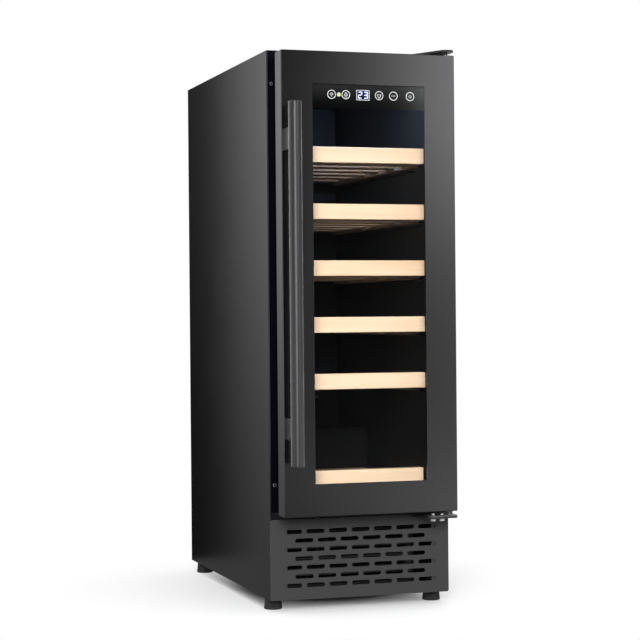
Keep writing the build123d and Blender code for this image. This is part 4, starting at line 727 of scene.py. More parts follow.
def recut(node, name, width, segments=2):
    """Copy of a CAD node with its corners merged and its edges softened."""
    twin = copied(frame["nodes"][node], name)
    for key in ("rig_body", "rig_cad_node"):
        del twin[key]
    twin.parent = None
    bpy.ops.mesh.customdata_custom_splitnormals_clear()
    with editing(twin):
        bpy.ops.mesh.select_all(action="SELECT")
        bpy.ops.mesh.remove_doubles(threshold=SAME_PLACE)
        bpy.ops.mesh.dissolve_limited(angle_limit=FLAT_ANGLE)
    return soften(twin, width, segments)


def coat(piece, *names):
    """Give a piece its finishes in order, dropping any it had."""
    piece.data.materials.clear()
    for name in names:
        piece.data.materials.append(bpy.data.materials[name])
    return piece


def settle(piece, body, slot, *nodes):
    """Let a finished piece ride on a body and stand for CAD nodes. The slot is not used."""
    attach(piece, body)
    if nodes:
        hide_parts(*nodes)
    return piece


# Operators


class CoolerOperator:
    """Shared behaviour of the cooler's operators"""

    bl_options = {"REGISTER", "UNDO"}
    node_finishes = {}

    def dress_nodes(self):
        """Give the CAD nodes in the operator's table their finishes."""
        for finish, nodes in self.node_finishes.items():
            for node in nodes:
                coat(frame["nodes"][node], finish)


class COOLER_OT_finishes(CoolerOperator, bpy.types.Operator):
    """Make the finishes of the object"""

    bl_idname = "cooler.finishes"
    bl_label = "Finishes"

    def execute(self, context):
        for build in (make_edge_rub, make_film_grain, make_beech_grain, make_brush_lines, make_spangle):
            build()
        for build in (make_paints, make_plastics, make_woods, make_lights):
            build()
        return {"FINISHED"}


class COOLER_OT_cabinet(CoolerOperator, bpy.types.Operator):
    """Paint the steel shell"""

    bl_idname = "cooler.cabinet"
    bl_label = "Cabinet"

    node_finishes = {
        "cabinet_paint": ("left_side_panel", "right_side_panel", "top_panel", "lower_cross_rail"),
        "sheet_steel": ("rear_panel", "rear_vent_cover"),
        # Bay plate and base tray take the near-black hinge paint as painted shade of the bay behind the
        # grille.
        "hinge_paint": ("bay_plate", "base_tray"),
        "foam": ("insulation_foam",),
    }

    def execute(self, context):
        self.dress_nodes()
        return {"FINISHED"}


class COOLER_OT_rear(CoolerOperator, bpy.types.Operator):
    """Press the rear sheets: a stiffening frame with two cross ribs, and a hood over each vent slot"""

    bl_idname = "cooler.rear"
    bl_label = "Rear"

    sunk = 0.0004
    rib_rise = 0.0011
    rib_edge = 0.0006
    frame_reach = 0.112
    frame_margin = 0.045
    frame_width = 0.009
    frame_corner = 0.024
    cross_reach = 0.080
    cross_half = 0.0045
    cross_corner = 0.0044
    cross_shares = (0.36, 0.64)
    hood_width = 0.074
    hood_height = 0.0085
    hood_rise = 0.0012
    hood_fall = 0.0011
    hood_taper = 0.006
    hood_edge = 0.0003
    hood_columns = (-0.045, 0.045)
    hood_rows = 7
    hood_pitch = 0.022
    hood_lift = 0.0027

    def hood(self, name, face):
        """Wedge that stands out over a slot and falls back to the sheet above it, its foot at the origin."""
        half = self.hood_width / 2
        hood = start_box(name, (-half, face - self.sunk, 0), (half, face + self.hood_rise, self.hood_height))
        split = self.hood_height / 2
        with editing(hood):
            pick(hood, "verts", lambda corner: corner.co.y > face and corner.co.z > split)
            bpy.ops.transform.translate(value=(0, -self.hood_fall, 0))
            pick(hood, "verts", lambda corner: corner.co.y > face and corner.co.z < split)
            shrink = 1 - self.hood_taper / self.hood_width
            bpy.ops.transform.resize(value=(shrink, 1, 1), center_override=(0, 0, 0))
        return soften(hood, self.hood_edge)

    def ribs(self):
        """Raised frame and cross ribs of the rear panel."""
        low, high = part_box("rear_panel")
        inner, outer = high.y - self.sunk, high.y + self.rib_rise
        rim = start_box(
            "rear_frame",
            (-self.frame_reach, inner, low.z + self.frame_margin),
            (self.frame_reach, outer, high.z - self.frame_margin),
        )
        round_corners(rim, self.frame_corner, segments=8)
        made = [soften(hollow(rim, self.frame_width), self.rib_edge, segments=3)]
        for share in self.cross_shares:
            z = low.z + (high.z - low.z) * share
            rib = start_box(
                f"rear_rib_{share}",
                (-self.cross_reach, inner, z - self.cross_half),
                (self.cross_reach, outer, z + self.cross_half),
            )
            round_corners(rib, self.cross_corner, segments=8)
            made.append(soften(rib, self.rib_edge, segments=3))
        return join("rear_ribs", made)

    def hoods(self):
        """Hoods over the slots of the rear cover."""
        low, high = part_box("rear_vent_cover")
        first = self.hood("vent_hood", high.y)
        made = []
        for x in self.hood_columns:
            for row in range(self.hood_rows):
                step = (row - self.hood_rows // 2) * self.hood_pitch
                z = (low.z + high.z) / 2 + step + self.hood_lift
                made.append(copied(first, f"vent_hood_{x}_{row}", (x, 0, z)))
        discard(first)
        return join("vent_hoods", made)

    def execute(self, context):
        for piece in (self.ribs(), self.hoods()):
            settle(coat(piece, "sheet_steel"), "cabinet", "sheet_steel")
        return {"FINISHED"}


class COOLER_OT_grille(CoolerOperator, bpy.types.Operator):
    """Soften the slotted grille panel"""

    bl_idname = "cooler.grille"
    bl_label = "Grille"

    def execute(self, context):
        grille = recut("front_grille", "grille_soft", sizes().slot_edge)
        settle(coat(grille, "grille_paint"), "cabinet", "grille_paint", "front_grille")
        return {"FINISHED"}


class COOLER_OT_interior(CoolerOperator, bpy.types.Operator):
    """Finish the cavity and its fittings"""

    bl_idname = "cooler.interior"
    bl_label = "Interior"

    node_finishes = {
        "liner_plastic": ("inner_liner", "shelf_runners", "air_duct_cover"),
        "light_plastic": ("light_cover",),
        "circuit_board": ("led_board",),
        "bare_aluminium": ("evaporator",),
        "white_plastic": ("drain_tube",),
        "black_plastic": ("evaporator_fan_frame", "evaporator_fan"),
    }

    def execute(self, context):
        self.dress_nodes()
        return {"FINISHED"}


class COOLER_OT_machine(CoolerOperator, bpy.types.Operator):
    """Finish the machine bay"""

    bl_idname = "cooler.machine"
    bl_label = "Machine Bay"

    node_finishes = {
        "compressor_paint": ("compressor",),
        "black_rubber": ("compressor_grommets", "cord_gland"),
        # Drip tray and power box are black here as painted shade of the bay behind the grille.
        "black_plastic": ("terminal_cover", "drip_tray", "power_box", "condenser_fan_frame", "condenser_fan"),
        "coated_fins": ("condenser",),
        "copper": ("filter_drier", "refrigerant_pipes"),
    }

    def execute(self, context):
        self.dress_nodes()
        return {"FINISHED"}


class COOLER_OT_shelves(CoolerOperator, bpy.types.Operator):
    """Build the beech shelves: front board, two rails and slats"""

    bl_idname = "cooler.shelves"
    bl_label = "Shelves"

    woods = ("beech", "beech_slat", "beech_rail")
    gap = 0.0001
    front_inset = 0.0005
    front_depth = 0.018
    front_height = 0.0245
    rack_height = 0.010
    rail_width = 0.018
    rail_lead = 0.006
    slat_rise = 0.005
    slat_width = 0.034

    # Places in the log, from 0 to 1, and the steps between boards and between shelves
    front_share = 0.3
    slat_share = 0.15
    slat_step = 0.37
    rail_share = 0.55
    rail_step = 0.2
    shelf_step = 0.23

    def board(self, name, low, high, wood, share, edge, segments=3, lead=0.0):
        """Rounded board of one wood, with its place in the log; a lead lifts its front end from below."""
        piece = start_box(name, low, high)
        if lead:
            near, middle = low[1] + lead, (low[2] + high[2]) / 2
            with editing(piece):
                bpy.ops.mesh.select_all(action="SELECT")
                bpy.ops.mesh.bisect(plane_co=(0, low[1] + 2 * lead, 0), plane_no=(0, 1, 0))
                pick(piece, "verts", lambda corner: corner.co.y < near and corner.co.z < middle)
                bpy.ops.transform.translate(value=(0, 0, lead))
        soften(piece, edge, segments)
        coat(piece, *self.woods)
        faces = piece.data.polygons
        faces.foreach_set("material_index", [self.woods.index(wood)] * len(faces))
        tone = piece.data.attributes.new("board", "FLOAT", "FACE")
        tone.data.foreach_set("value", [share] * len(tone.data))
        return piece

    def shelf(self, node, slats):
        """A whole shelf in the place of its CAD node."""
        low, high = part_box(node)
        front_x = high.x - self.front_inset
        rail_x = high.x - self.rail_width
        rack_y = low.y + self.front_depth + self.gap
        front_low = (-front_x, low.y, high.z - self.front_height)
        front_high = (front_x, low.y + self.front_depth, high.z)
        blunt, soft = sizes().board_round, sizes().slat_round
        share = self.front_share
        pieces = [self.board(node + "_front", front_low, front_high, "beech", share, blunt, segments=4)]
        pitch = (high.y - rack_y - self.slat_width) / (slats - 1)
        slat_x = rail_x - self.gap
        for index in range(slats):
            y = rack_y + index * pitch
            slat_low = (-slat_x, y, low.z + self.slat_rise)
            slat_high = (slat_x, y + self.slat_width, low.z + self.rack_height)
            share = (index * self.slat_step + self.slat_share) % 1
            name = f"{node}_slat_{index}"
            pieces.append(self.board(name, slat_low, slat_high, "beech_slat", share, soft))
        for side in (-1, 1):
            near, far = sorted((side * rail_x, side * high.x))
            rail_low = (near, rack_y, low.z)
            rail_high = (far, high.y, low.z + self.rack_height)
            share = self.rail_share + self.rail_step * side
            name = f"{node}_rail_{side}"
            rail = self.board(name, rail_low, rail_high, "beech_rail", share, soft, lead=self.rail_lead)
            pieces.append(rail)
        return join(node + "_beech", pieces)

    def execute(self, context):
        first = self.shelf("shelf_1", slats=6)
        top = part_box("shelf_1")[1].z
        made = {1: first, 6: self.shelf("shelf_6", slats=4)}
        for number in range(2, 6):
            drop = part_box(f"shelf_{number}")[1].z - top
            twin = copied(first, f"shelf_{number}_beech", (0, 0, drop))
            tone = twin.data.attributes["board"]
            values = [0.0] * len(tone.data)
            tone.data.foreach_get("value", values)
            step = number * self.shelf_step
            tone.data.foreach_set("value", [(value + step) % 1 for value in values])
            made[number] = twin
        for number, piece in made.items():
            settle(piece, f"shelf_{number}", "beech", f"shelf_{number}")
        return {"FINISHED"}


class COOLER_OT_door(CoolerOperator, bpy.types.Operator):
    """Finish the door: skin, panes, spacer, inner frame, control set and gasket"""

    bl_idname = "cooler.door"
    bl_label = "Door"

    node_finishes = {
        "door_paint": ("door_frame",),
        "clear_glass": ("front_glass", "inner_glass"),
        "spacer_aluminium": ("glass_spacer",),
        "black_plastic": ("door_inner_frame", "control_housing"),
        "white_plastic": ("hinge_bushes", "touch_light_guides"),
        "circuit_board": ("control_board",),
        "display_plastic": ("display_module",),
    }
    gasket_edge = 0.0006

    def execute(self, context):
        self.dress_nodes()
        gasket = recut("door_gasket", "gasket_soft", self.gasket_edge, segments=3)
        settle(coat(gasket, "black_rubber"), "door", "black_rubber", "door_gasket")
        return {"FINISHED"}


class COOLER_OT_controls(CoolerOperator, bpy.types.Operator):
    """Print the control band, its touch signs and the display behind the front pane"""

    bl_idname = "cooler.controls"
    bl_label = "Controls"

    row = 0.7980
    key_places = {"light": -0.0592, "warmer": -0.0362, "colder": 0.0180, "mode": 0.0414, "main": 0.0688}
    key_radius = 0.00675
    lamp_x = -0.0475
    lamp_radius = 0.0019
    lamp_edge = 0.0005
    lamp_ring = 0.0031
    display_x = -0.0085
    display_size = (0.0210, 0.0156)
    digit_shift = 0.0046
    digit_tall = 0.0055
    digit_half = 0.0027
    digit_long = 0.0048
    digit_wide = 0.0017
    main_rise = -0.0002
    main_radius = 0.0022
    main_cut = 0.0013
    sign_gap = 0.0000225
    band_gap = 0.000045
    band_depth = 0.00004
    band_low = 0.7764
    band_margin = 0.0006
    band_corner = 0.001

    # Name, key, rise over the row, radius, stroke as a share of the line, sides, turn
    outlines = (
        ("light_bulb", "light", 0.0006, 0.0019, 0.7, 48, 0.0),
        ("warmer_tip", "warmer", 0.0006, 0.0038, 0.8, 3, 0.0),
        ("colder_tip", "colder", -0.0006, 0.0046, 0.8, 3, pi),
    )
    # Name, key, shift along the row, rise over it, length, stroke as a share of the line, turn
    strokes = (
        ("light_foot", "light", 0.0, -0.0024, 0.0018, 0.7, 0.0),
        ("light_ray_left", "light", -0.0037, 0.0006, 0.0016, 0.7, 0.0),
        ("light_ray_right", "light", 0.0037, 0.0006, 0.0016, 0.7, 0.0),
        ("warmer_bar", "warmer", 0.0, -0.0036, 0.0052, 0.8, 0.0),
        ("mode_left", "mode", -0.0022, 0.0, 0.0026, 0.7, pi / 2),
        ("mode_middle", "mode", 0.0, 0.0, 0.0026, 0.7, pi / 2),
        ("mode_right", "mode", 0.0022, 0.0, 0.0026, 0.7, pi / 2),
        ("main_bar", "main", 0.0, 0.0013, 0.0024, 0.6, pi / 2),
    )

    def outline(self, name, x, rise, radius, width, sides=48, turn=0.0):
        """Printed ring, or the outline of a triangle when it has three sides."""
        sign = start_rod(name, (0, 0, 0), radius, sizes().print_depth, sides, axis="Y")
        sign.rotation_euler = (0, turn, 0)
        sign.location = (x, self.sign_y, self.row + rise)
        fix_place()
        return hollow(sign, width)

    def bar(self, name, x, rise, long, wide, turn=0.0):
        """Printed stroke with rounded ends."""
        middle = (x, self.sign_y, self.row + rise)
        stroke = start_block(name, middle, (long, sizes().print_depth, wide), (0, turn, 0))
        return round_corners(stroke, wide * 0.45, segments=3)

    def open_top(self, ring, x):
        """Cut the top off a printed ring and close its two ends."""
        with editing(ring):
            bpy.ops.mesh.select_all(action="SELECT")
            cut = (0, 0, self.row + self.main_cut)
            bpy.ops.mesh.bisect(plane_co=cut, plane_no=(0, 0, 1), threshold=SAME_PLACE / 10, clear_outer=True)
            for side in (-1, 1):
                pick(ring, "edges", lambda edge: edge.is_boundary and side * (edge.verts[0].co.x - x) > 0)
                bpy.ops.mesh.edge_face_add()
        return ring

    def signs(self):
        """Rings of the five keys, the symbol in each, the lamp's ring and the display's rim."""
        line = sizes().line
        made = [self.outline("key_" + key, x, 0, self.key_radius, line) for key, x in self.key_places.items()]
        for name, key, rise, radius, share, sides, turn in self.outlines:
            made.append(self.outline(name, self.key_places[key], rise, radius, line * share, sides, turn))
        for name, key, shift, rise, long, share, turn in self.strokes:
            made.append(self.bar(name, self.key_places[key] + shift, rise, long, line * share, turn))
        main = self.key_places["main"]
        ring = self.outline("main_ring", main, self.main_rise, self.main_radius, line * 0.6)
        made.append(self.open_top(ring, main))
        made.append(self.outline("ready_ring", self.lamp_x, 0, self.lamp_ring, line * 0.8))
        wide, tall = self.display_size
        middle = (self.display_x, self.sign_y, self.row)
        made.append(hollow(start_block("display_rim", middle, (wide, sizes().print_depth, tall)), line * 0.9))
        return join("touch_signs", made)

    def digits(self):
        """Two figures of seven-bar shape."""
        tall, half, wide = self.digit_tall, self.digit_half, self.digit_wide
        places = {
            "top": (0, tall - wide / 2, 0),
            "mid": (0, 0, 0),
            "low": (0, wide / 2 - tall, 0),
            "top_right": (half, tall / 2, pi / 2),
            "low_left": (-half, -tall / 2, pi / 2),
            "low_right": (half, -tall / 2, pi / 2),
        }
        figures = (
            (-self.digit_shift, ("top", "top_right", "mid", "low_left", "low")),
            (self.digit_shift, ("top", "top_right", "mid", "low_right", "low")),
        )
        made = []
        for shift, lit in figures:
            for label in lit:
                x, rise, turn = places[label]
                middle = self.display_x + shift + x
                made.append(self.bar(f"digit_{label}", middle, rise, self.digit_long, wide, turn))
        return join("display_digits", made)

    def band(self, low, high):
        """Dark print across the top of the pane, behind the signs."""
        back = high.y + self.band_gap
        first = (low.x + self.band_margin, back, self.band_low)
        last = (high.x - self.band_margin, back + self.band_depth, high.z - self.band_margin)
        return round_corners(start_box("control_band", first, last), self.band_corner, segments=3)

    def lamp(self):
        """Small round lamp with a flat rim."""
        middle = (self.lamp_x, self.sign_y, self.row)
        lamp = start_rod("ready_lamp", middle, self.lamp_radius, sizes().print_depth, sides=32, axis="Y")
        with editing(lamp):
            pick(lamp, "faces", lambda face: face.normal.y < -FACING)
            bpy.ops.mesh.inset(thickness=self.lamp_edge)
        return lamp

    def execute(self, context):
        low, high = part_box("front_glass")
        self.sign_y = high.y + self.sign_gap
        settle(coat(self.band(low, high), "band_print"), "door", "black_plastic")
        settle(coat(self.signs(), "symbol_print"), "door", "white_plastic")
        settle(coat(self.digits(), "digit_light"), "door", "display_plastic")
        settle(coat(self.lamp(), "ready_light"), "door", "display_plastic")
        return {"FINISHED"}


class COOLER_OT_handle(CoolerOperator, bpy.types.Operator):
    """Build the round handle bar, slim and soften its posts"""

    bl_idname = "cooler.handle"
    bl_label = "Handle"

    node_finishes = {"zinc_steel": ("handle_screws",)}
    bar_edge = 0.0009
    post_edge = 0.0005

    def execute(self, context):
        low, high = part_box("handle_bar")
        radius, tall = (high.x - low.x) / 2, high.z - low.z
        bar = start_rod("handle_round", (low + high) / 2, radius, tall, sides=96)
        soften(bar, self.bar_edge, segments=4)
        settle(coat(bar, "handle_metal"), "door", "handle_metal", "handle_bar")
        posts = recut("handle_posts", "posts_soft", self.post_edge, segments=3)
        low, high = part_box("handle_posts")
        slim = sizes().post_width / (high.x - low.x)
        with editing(posts):
            bpy.ops.mesh.select_all(action="SELECT")
            bpy.ops.transform.resize(value=(slim, 1, 1), center_override=((low.x + high.x) / 2, 0, 0))
        settle(coat(posts, "post_metal"), "door", "handle_metal", "handle_posts")
        self.dress_nodes()
        return {"FINISHED"}


class COOLER_OT_hinges(CoolerOperator, bpy.types.Operator):
    """Soften the hinge plates and bolts"""

    bl_idname = "cooler.hinges"
    bl_label = "Hinges"

    plate_finishes = {
        "upper_hinge_bracket": "hinge_paint",
        "lower_hinge_bracket": "hinge_paint",
        "lower_pivot_plate": "plate_paint",
    }
    plate_thickness = 0.003
    bolt_edge = 0.0003

    def execute(self, context):
        for node, finish in self.plate_finishes.items():
            plate = recut(node, node + "_soft", sizes().edge)
            settle(coat(plate, finish), "cabinet", "hinge_paint", node)
        bolts = recut("adjuster_bolts", "bolts_soft", self.bolt_edge)
        coat(bolts, "bright_zinc", "black_zinc")
        # Above the pivot plate the bolts take the dark plating as painted shade under the door; below it the
        # bright plating.
        plate_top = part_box("lower_pivot_plate")[0].z + self.plate_thickness
        for face in bolts.data.polygons:
            face.material_index = int(face.center.z > plate_top)
        settle(bolts, "cabinet", "zinc_steel", "adjuster_bolts")
        return {"FINISHED"}


class COOLER_OT_screws(CoolerOperator, bpy.types.Operator):
    """Build the screws of hinges, flanges and rear sheets"""

    bl_idname = "cooler.screws"
    bl_label = "Screws"

    hinge_columns = (0.105, 0.133)
    hinge_back = 0.023
    hinge_top = 0.8730
    bracket_columns = (0.094, 0.138)
    bracket_thickness = 0.0025
    bracket_row = 0.1520
    flange_columns = (-0.1404, 0.1404)
    flange_rows = (0.1973, 0.8183)
    rear_inset = 0.018
    rear_rows = (0.035, 0.125, 0.213, 0.238, 0.440, 0.640)
    rear_top_inset = 0.009
    shank_radius = 0.0020
    shank_length = 0.0034
    shank_middle = -0.0016
    shank_edge = 0.0003

    def cutters(self, radius, height, socket):
        """Blocks that cut a cross, or a six-sided rod that cuts a socket, from the top of a head."""
        floor = height - sizes().recess
        if socket:
            return [start_rod("socket", (0, 0, floor + height / 2), radius * 0.62, height, sides=6)]
        reach, half = radius * 0.525, radius * 0.16
        return [
            start_box("cross_x", (-reach, -half, floor), (reach, half, height * 2)),
            start_box("cross_y", (-half, -reach, floor), (half, reach, height * 2)),
        ]

    def screw(self, name, radius, height, socket=False):
        """Domed head with a cross or socket in it, darkened there with painted shade, on a short shank,
        standing on the origin.
        """
        head = start_rod(name, (0, 0, height / 2), radius, height, sides=40)
        with editing(head):
            pick(head, "faces", lambda face: face.normal.z > FACING)
            bpy.ops.mesh.bevel(offset=height * 0.55, segments=5, affect="EDGES")
        cutters = self.cutters(radius, height, socket)
        for cutter in cutters:
            take(head)
            cut = head.modifiers.new("recess", "BOOLEAN")
            cut.operation = "DIFFERENCE"
            cut.object = cutter
            bpy.ops.object.modifier_apply(modifier=cut.name)
        discard(*cutters)
        coat(head, "black_zinc", "recess_oil")
        # Faces inside the cross or socket take the recess finish, which is painted shade.
        for face in head.data.polygons:
            inside = face.center.xy.length < radius * 0.6 and face.center.z < height * 0.98
            face.material_index = int(inside and face.normal.z > -0.5)
        take(head)
        bpy.ops.object.shade_smooth_by_angle(angle=SHARP_ANGLE)
        middle = (0, 0, self.shank_middle)
        shank = start_rod(name + "_shank", middle, self.shank_radius, self.shank_length, sides=20)
        return join(name, [head, coat(soften(shank, self.shank_edge), "black_zinc")])

    def execute(self, context):
        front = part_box("left_side_panel")[0].y
        low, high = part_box("rear_panel")
        large = self.screw("large_screw", radius=0.0042, height=0.0024)
        small = self.screw("small_screw", radius=0.0027, height=0.0016, socket=True)
        flat = self.screw("flat_screw", radius=0.0035, height=0.0012)
        upright, ahead, astern = (0, 0, 0), (pi / 2, 0, 0), (-pi / 2, 0, 0)
        made = []
        for x in self.hinge_columns:
            place = (x, front + self.hinge_back, self.hinge_top)
            made.append(copied(flat, f"hinge_screw_{x}", place, upright))
        for x in self.bracket_columns:
            place = (x, front - self.bracket_thickness, self.bracket_row)
            made.append(copied(large, f"bracket_screw_{x}", place, ahead))
        for x in self.flange_columns:
            for z in self.flange_rows:
                made.append(copied(small, f"flange_screw_{x}_{z}", (x, front, z), ahead))
        rear = []
        for x in (low.x + self.rear_inset, high.x - self.rear_inset):
            for z in (*self.rear_rows, high.z - self.rear_inset):
                rear.append(copied(flat, f"rear_screw_{x}_{z}", (x, high.y, z), astern))
        rear.append(copied(flat, "rear_screw_top", (0, high.y, high.z - self.rear_top_inset), astern))
        discard(large, small, flat)
        settle(join("cross_screws", made), "cabinet", "zinc_steel", "cabinet_screws")
        plain = join("rear_screws", rear)
        plain.data.materials[0] = bpy.data.materials["zinc_steel"]
        settle(plain, "cabinet", "zinc_steel")
        return {"FINISHED"}


class COOLER_OT_feet(CoolerOperator, bpy.types.Operator):
    """Build the fluted levelling feet on their studs"""

    bl_idname = "cooler.feet"
    bl_label = "Feet"

    pad_height = 0.0177
    pad_taper = 0.0128 / 0.0145
    pad_low_edge = 0.0018
    pad_high_edge = 0.0008
    pad_smooth = radians(25)
    stud_radius = 0.0040
    stud_length = 0.0324
    stud_middle = 0.0338
    stud_edge = 0.0005

    def in_flute(self, offset):
        """Tell whether a point round the pad lies in one of its flutes."""
        share = atan2(offset.y, offset.x) * sizes().flutes / (2 * pi)
        return abs(share - round(share)) < 0.1

    def foot(self, name, low, high):
        """Tapered pad with grip flutes round it, on a stud."""
        x, y = ((low + high) / 2).xy
        axis = Vector((x, y))
        radius = (high.x - low.x) / 2
        half = self.pad_height / 2
        pad = start_rod(name, (x, y, half), radius, self.pad_height, sides=2 * sizes().flutes)
        inward = 1 - sizes().flute_depth / radius
        taper = self.pad_taper
        with editing(pad):
            pick(pad, "verts", lambda corner: corner.co.z > half)
            bpy.ops.transform.resize(value=(taper, taper, 1), center_override=(x, y, 0))
            pick(pad, "verts", lambda corner: self.in_flute(corner.co.xy - axis))
            bpy.ops.transform.resize(value=(inward, inward, 1), center_override=(x, y, 0))
            pick(pad, "faces", lambda face: face.normal.z < -FACING)
            bpy.ops.mesh.bevel(offset=self.pad_low_edge, segments=3, affect="EDGES")
            pick(pad, "faces", lambda face: face.normal.z > FACING)
            bpy.ops.mesh.bevel(offset=self.pad_high_edge, segments=2, affect="EDGES")
        bpy.ops.object.shade_smooth_by_angle(angle=self.pad_smooth)
        middle = (x, y, self.stud_middle)
        stud = start_rod(name + "_stud", middle, self.stud_radius, self.stud_length, sides=24)
        return join(name, [pad, soften(stud, self.stud_edge)])

    def execute(self, context):
        low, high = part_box("foot_front_left")
        first = self.foot("pad_front_left", low, high)
        made = {"front_left": first}
        for corner in ("front_right", "rear_left", "rear_right"):
            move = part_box("foot_" + corner)[0] - low
            made[corner] = copied(first, "pad_" + corner, move)
        for corner, piece in made.items():
            settle(coat(piece, "foot_plastic"), "foot_" + corner, "foot_plastic", "foot_" + corner)
        return {"FINISHED"}


class COOLER_OT_stage(CoolerOperator, bpy.types.Operator):
    """Lay the floor, set the lamps and place the camera"""

    bl_idname = "cooler.stage"
    bl_label = "Stage"

    aim = (0, -0.1, 0.45)
    floor_radius = 9.0
    sensor = 36.0
    far_clip = 100

    def floor(self):
        """Pale floor that takes a soft shadow near the object and runs out to white."""
        clear_selection()
        bpy.ops.mesh.primitive_circle_add(vertices=128, radius=self.floor_radius, fill_type="NGON")
        ground = bpy.context.active_object
        ground.name = "studio_floor"
        tree, shader = new_finish("studio_floor")
        path = add(tree, "LightPath").outputs
        pale = colours().floor
        lit = blend(tree, noise(tree, here(tree), 30, 3), toned(pale, 0.99), pale)
        bounced = (0.08, 0.08, 0.08)
        feed(tree, shader.inputs["Base Color"], blend(tree, path["Is Diffuse Ray"], lit, bounced))
        shader.inputs["Roughness"].default_value = 0.7
        far = remap(tree, combine(tree, "LENGTH", here(tree)).outputs["Value"], 0.12, 0.48)
        direct = figure(tree, "MAXIMUM", path["Is Camera Ray"], path["Is Transmission Ray"])
        seen = figure(tree, "MULTIPLY", far, direct)
        mirrored = figure(tree, "GREATER_THAN", path["Glossy Depth"], 0.5)
        inside = figure(tree, "GREATER_THAN", path["Transmission Depth"], 0.5)
        across = axes(tree)[0]
        right = remap(tree, across, 0.25, 0.6, 0.15, 0.8)
        left = remap(tree, across, -0.9, -5.0, 0.15, 1.0)
        through = remap(tree, inside, 0, 1, 1, 0.1)
        dim = figure(tree, "MULTIPLY", figure(tree, "MAXIMUM", left, right), through)
        white = add(tree, "Emission", Color=blend(tree, mirrored, (1, 1, 1), dim), Strength=1.0)
        show(tree, either(tree, figure(tree, "MAXIMUM", seen, mirrored), shader, white))
        coat(ground, "studio_floor")

    def sky(self):
        """White for the camera and for reflections behind the object, soft grey light elsewhere."""
        world = bpy.data.worlds.new("studio_sky")
        bpy.context.scene.world = world
        world.use_nodes = True
        tree = world.node_tree
        tree.nodes.clear()
        path = add(tree, "LightPath").outputs
        heading = add(tree, "SeparateXYZ", Vector=add(tree, "TexCoord").outputs["Generated"]).outputs
        behind = remap(tree, heading[1], -0.1, 0.5)
        mirrored = figure(tree, "GREATER_THAN", path["Glossy Depth"], 0.5)
        straight = figure(tree, "SUBTRACT", 1.0, mirrored)
        through = figure(tree, "MULTIPLY", path["Is Transmission Ray"], straight)
        seen = figure(tree, "MAXIMUM", path["Is Camera Ray"], through)
        seen = figure(tree, "MAXIMUM", seen, figure(tree, "MULTIPLY", path["Is Glossy Ray"], behind))
        room = blend(tree, mirrored, (0.60, 0.60, 0.61), (0.04, 0.04, 0.04))
        soft = add(tree, "Background", Color=room, Strength=1.0)
        white = add(tree, "Background", Color=(1, 1, 1, 1), Strength=1.0)
        show(tree, either(tree, seen, soft, white), "World")

    def lamp(self, name, place, width, height, watts):
        """Soft area lamp that the camera and reflections don't see."""
        clear_selection()
        aim = (Vector(self.aim) - Vector(place)).to_track_quat("-Z", "Y")
        bpy.ops.object.light_add(type="AREA", location=place, rotation=aim.to_euler())
        made = bpy.context.active_object
        made.name = name
        made.data.shape = "RECTANGLE"
        made.data.size = width
        made.data.size_y = height
        made.data.energy = watts
        made.visible_camera = False
        made.visible_glossy = False
        made.visible_transmission = False

    def card(self, name, place, facing, size, span, rise, levels, even=False):
        """Card that only reflections see, graded between four corner levels, from its middle when even."""
        clear_selection()
        width, height = size
        bpy.ops.mesh.primitive_plane_add(size=1)
        made = bpy.context.active_object
        made.name = name
        made.scale = (width, height, 1)
        bpy.ops.object.transform_apply(location=False, rotation=False, scale=True)
        made.location = place
        made.rotation_euler = Vector(facing).to_track_quat("Z", "Y").to_euler()
        tree = new_finish(name)[0]
        x, y, _ = axes(tree)
        if even:
            x = figure(tree, "ABSOLUTE", x)
        across = remap(tree, x, span[0] * width, span[1] * width, smooth=True)
        up = remap(tree, y, rise[0] * height, rise[1] * height, smooth=True)
        low_first, low_last, high_first, high_last = ((level, level, level) for level in levels)
        low = blend(tree, across, low_first, low_last)
        level = blend(tree, up, low, blend(tree, across, high_first, high_last))
        show(tree, add(tree, "Emission", Color=level, Strength=bpy.context.scene.cooler_studio.cards))
        coat(made, name)
        made.visible_camera = False
        made.visible_diffuse = False
        made.visible_transmission = False
        made.visible_shadow = False

    def cards(self):
        """Cards that give the door, the left panel and the handle bar their reflections."""
        self.card(
            "door_card",
            place=(0.85, -2.4, 0.65),
            facing=(0, 1, 0),
            size=(1.2, 1.5),
            span=(0.21, -0.33),
            rise=(-0.14, 0.36),
            levels=(0.17, 0.55, 0.05, 3.0),
        )
        self.card(
            "panel_card",
            place=(-0.42, 0.45, 0.55),
            facing=(0, -1, 0),
            size=(0.54, 1.16),
            span=(0.37, 0.06),
            rise=(-0.5, 0.45),
            levels=(0.01, 0.25, 0.05, 0.95),
        )
        self.card(
            "bar_card",
            place=(-1.10, -3.35, 0.7),
            facing=(0.3, 1, 0),
            size=(2.8, 3.0),
            span=(0.42, 0.05),
            rise=(-0.5, 0),
            levels=(0.1, 3.0, 0.1, 3.0),
            even=True,
        )

    def camera(self):
        """Camera at the viewing angle of the photograph."""
        studio = bpy.context.scene.cooler_studio
        turn, tilt, roll = studio.turn, studio.tilt, studio.roll
        ahead = Vector((sin(turn) * cos(tilt), cos(turn) * cos(tilt), sin(tilt)))
        right = Vector((cos(turn), -sin(turn), 0))
        up = right.cross(ahead)
        leaned = right * cos(roll) + up * sin(roll)
        raised = up * cos(roll) - right * sin(roll)
        clear_selection()
        bpy.ops.object.camera_add()
        eye = bpy.context.active_object
        eye.name = "photo_camera"
        eye.data.lens = studio.lens
        eye.data.sensor_width = self.sensor
        eye.data.clip_end = self.far_clip
        pose = Matrix((leaned, raised, -ahead)).transposed().to_4x4()
        pose.translation = studio.place
        eye.matrix_world = pose
        bpy.context.scene.camera = eye

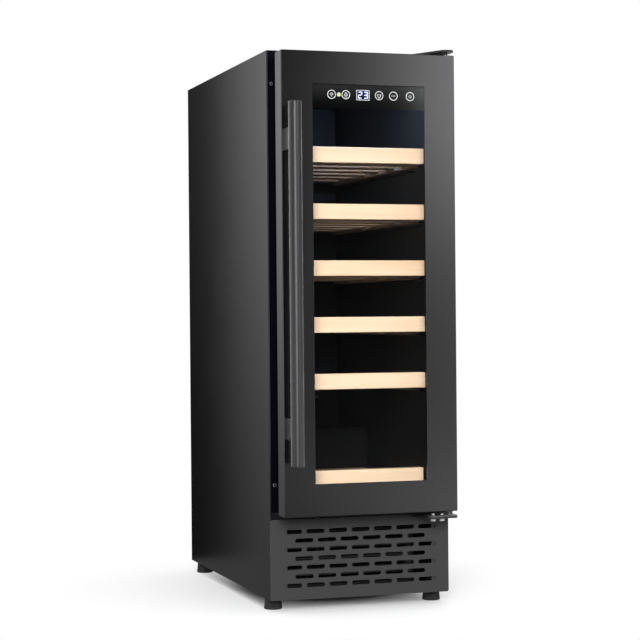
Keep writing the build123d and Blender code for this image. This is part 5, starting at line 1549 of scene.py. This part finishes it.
    def execute(self, context):
        studio = context.scene.cooler_studio
        self.floor()
        self.sky()
        self.lamp("key_lamp", place=(-1.0, -3.2, 1.3), width=1.2, height=1.2, watts=studio.key)
        self.lamp("fill_lamp", place=(2.4, -1.0, 1.2), width=1.2, height=1.6, watts=studio.fill)
        self.lamp("top_lamp", place=(0, -0.2, 2.6), width=1.8, height=1.8, watts=studio.top)
        self.cards()
        self.camera()
        context.scene.view_settings.view_transform = "Standard"
        return {"FINISHED"}


# Panel and registration


class COOLER_PT_dressing(bpy.types.Panel):
    """Steps that dress the cooler"""

    bl_idname = "COOLER_PT_dressing"
    bl_label = "Wine Cooler"
    bl_space_type = "VIEW_3D"
    bl_region_type = "UI"
    bl_category = "Cooler"

    def draw(self, context):
        for step in STEPS:
            self.layout.operator(step.bl_idname)
        for group in (context.scene.cooler_colours, context.scene.cooler_sizes, context.scene.cooler_studio):
            for label in group.bl_rna.properties.keys():
                if label not in ("rna_type", "name"):
                    self.layout.prop(group, label)


STEPS = (
    COOLER_OT_stage,
    COOLER_OT_finishes,
    COOLER_OT_cabinet,
    COOLER_OT_rear,
    COOLER_OT_grille,
    COOLER_OT_interior,
    COOLER_OT_machine,
    COOLER_OT_shelves,
    COOLER_OT_door,
    COOLER_OT_controls,
    COOLER_OT_handle,
    COOLER_OT_hinges,
    COOLER_OT_screws,
    COOLER_OT_feet,
)
CLASSES = (CoolerColours, CoolerSizes, CoolerStudio, *STEPS, COOLER_PT_dressing)


def register():
    """Register properties, operators and panel."""
    for item in CLASSES:
        bpy.utils.register_class(item)
    bpy.types.Scene.cooler_colours = PointerProperty(type=CoolerColours)
    bpy.types.Scene.cooler_sizes = PointerProperty(type=CoolerSizes)
    bpy.types.Scene.cooler_studio = PointerProperty(type=CoolerStudio)


def unregister():
    """Take everything off again."""
    del bpy.types.Scene.cooler_studio
    del bpy.types.Scene.cooler_sizes
    del bpy.types.Scene.cooler_colours
    for item in reversed(CLASSES):
        bpy.utils.unregister_class(item)


def main():
    """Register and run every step."""
    register()
    bpy.ops.cooler.stage()
    bpy.ops.cooler.finishes()
    bpy.ops.cooler.cabinet()
    bpy.ops.cooler.rear()
    bpy.ops.cooler.grille()
    bpy.ops.cooler.interior()
    bpy.ops.cooler.machine()
    bpy.ops.cooler.shelves()
    bpy.ops.cooler.door()
    bpy.ops.cooler.controls()
    bpy.ops.cooler.handle()
    bpy.ops.cooler.hinges()
    bpy.ops.cooler.screws()
    bpy.ops.cooler.feet()
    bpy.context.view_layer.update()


if __name__ == "__main__":
    main()
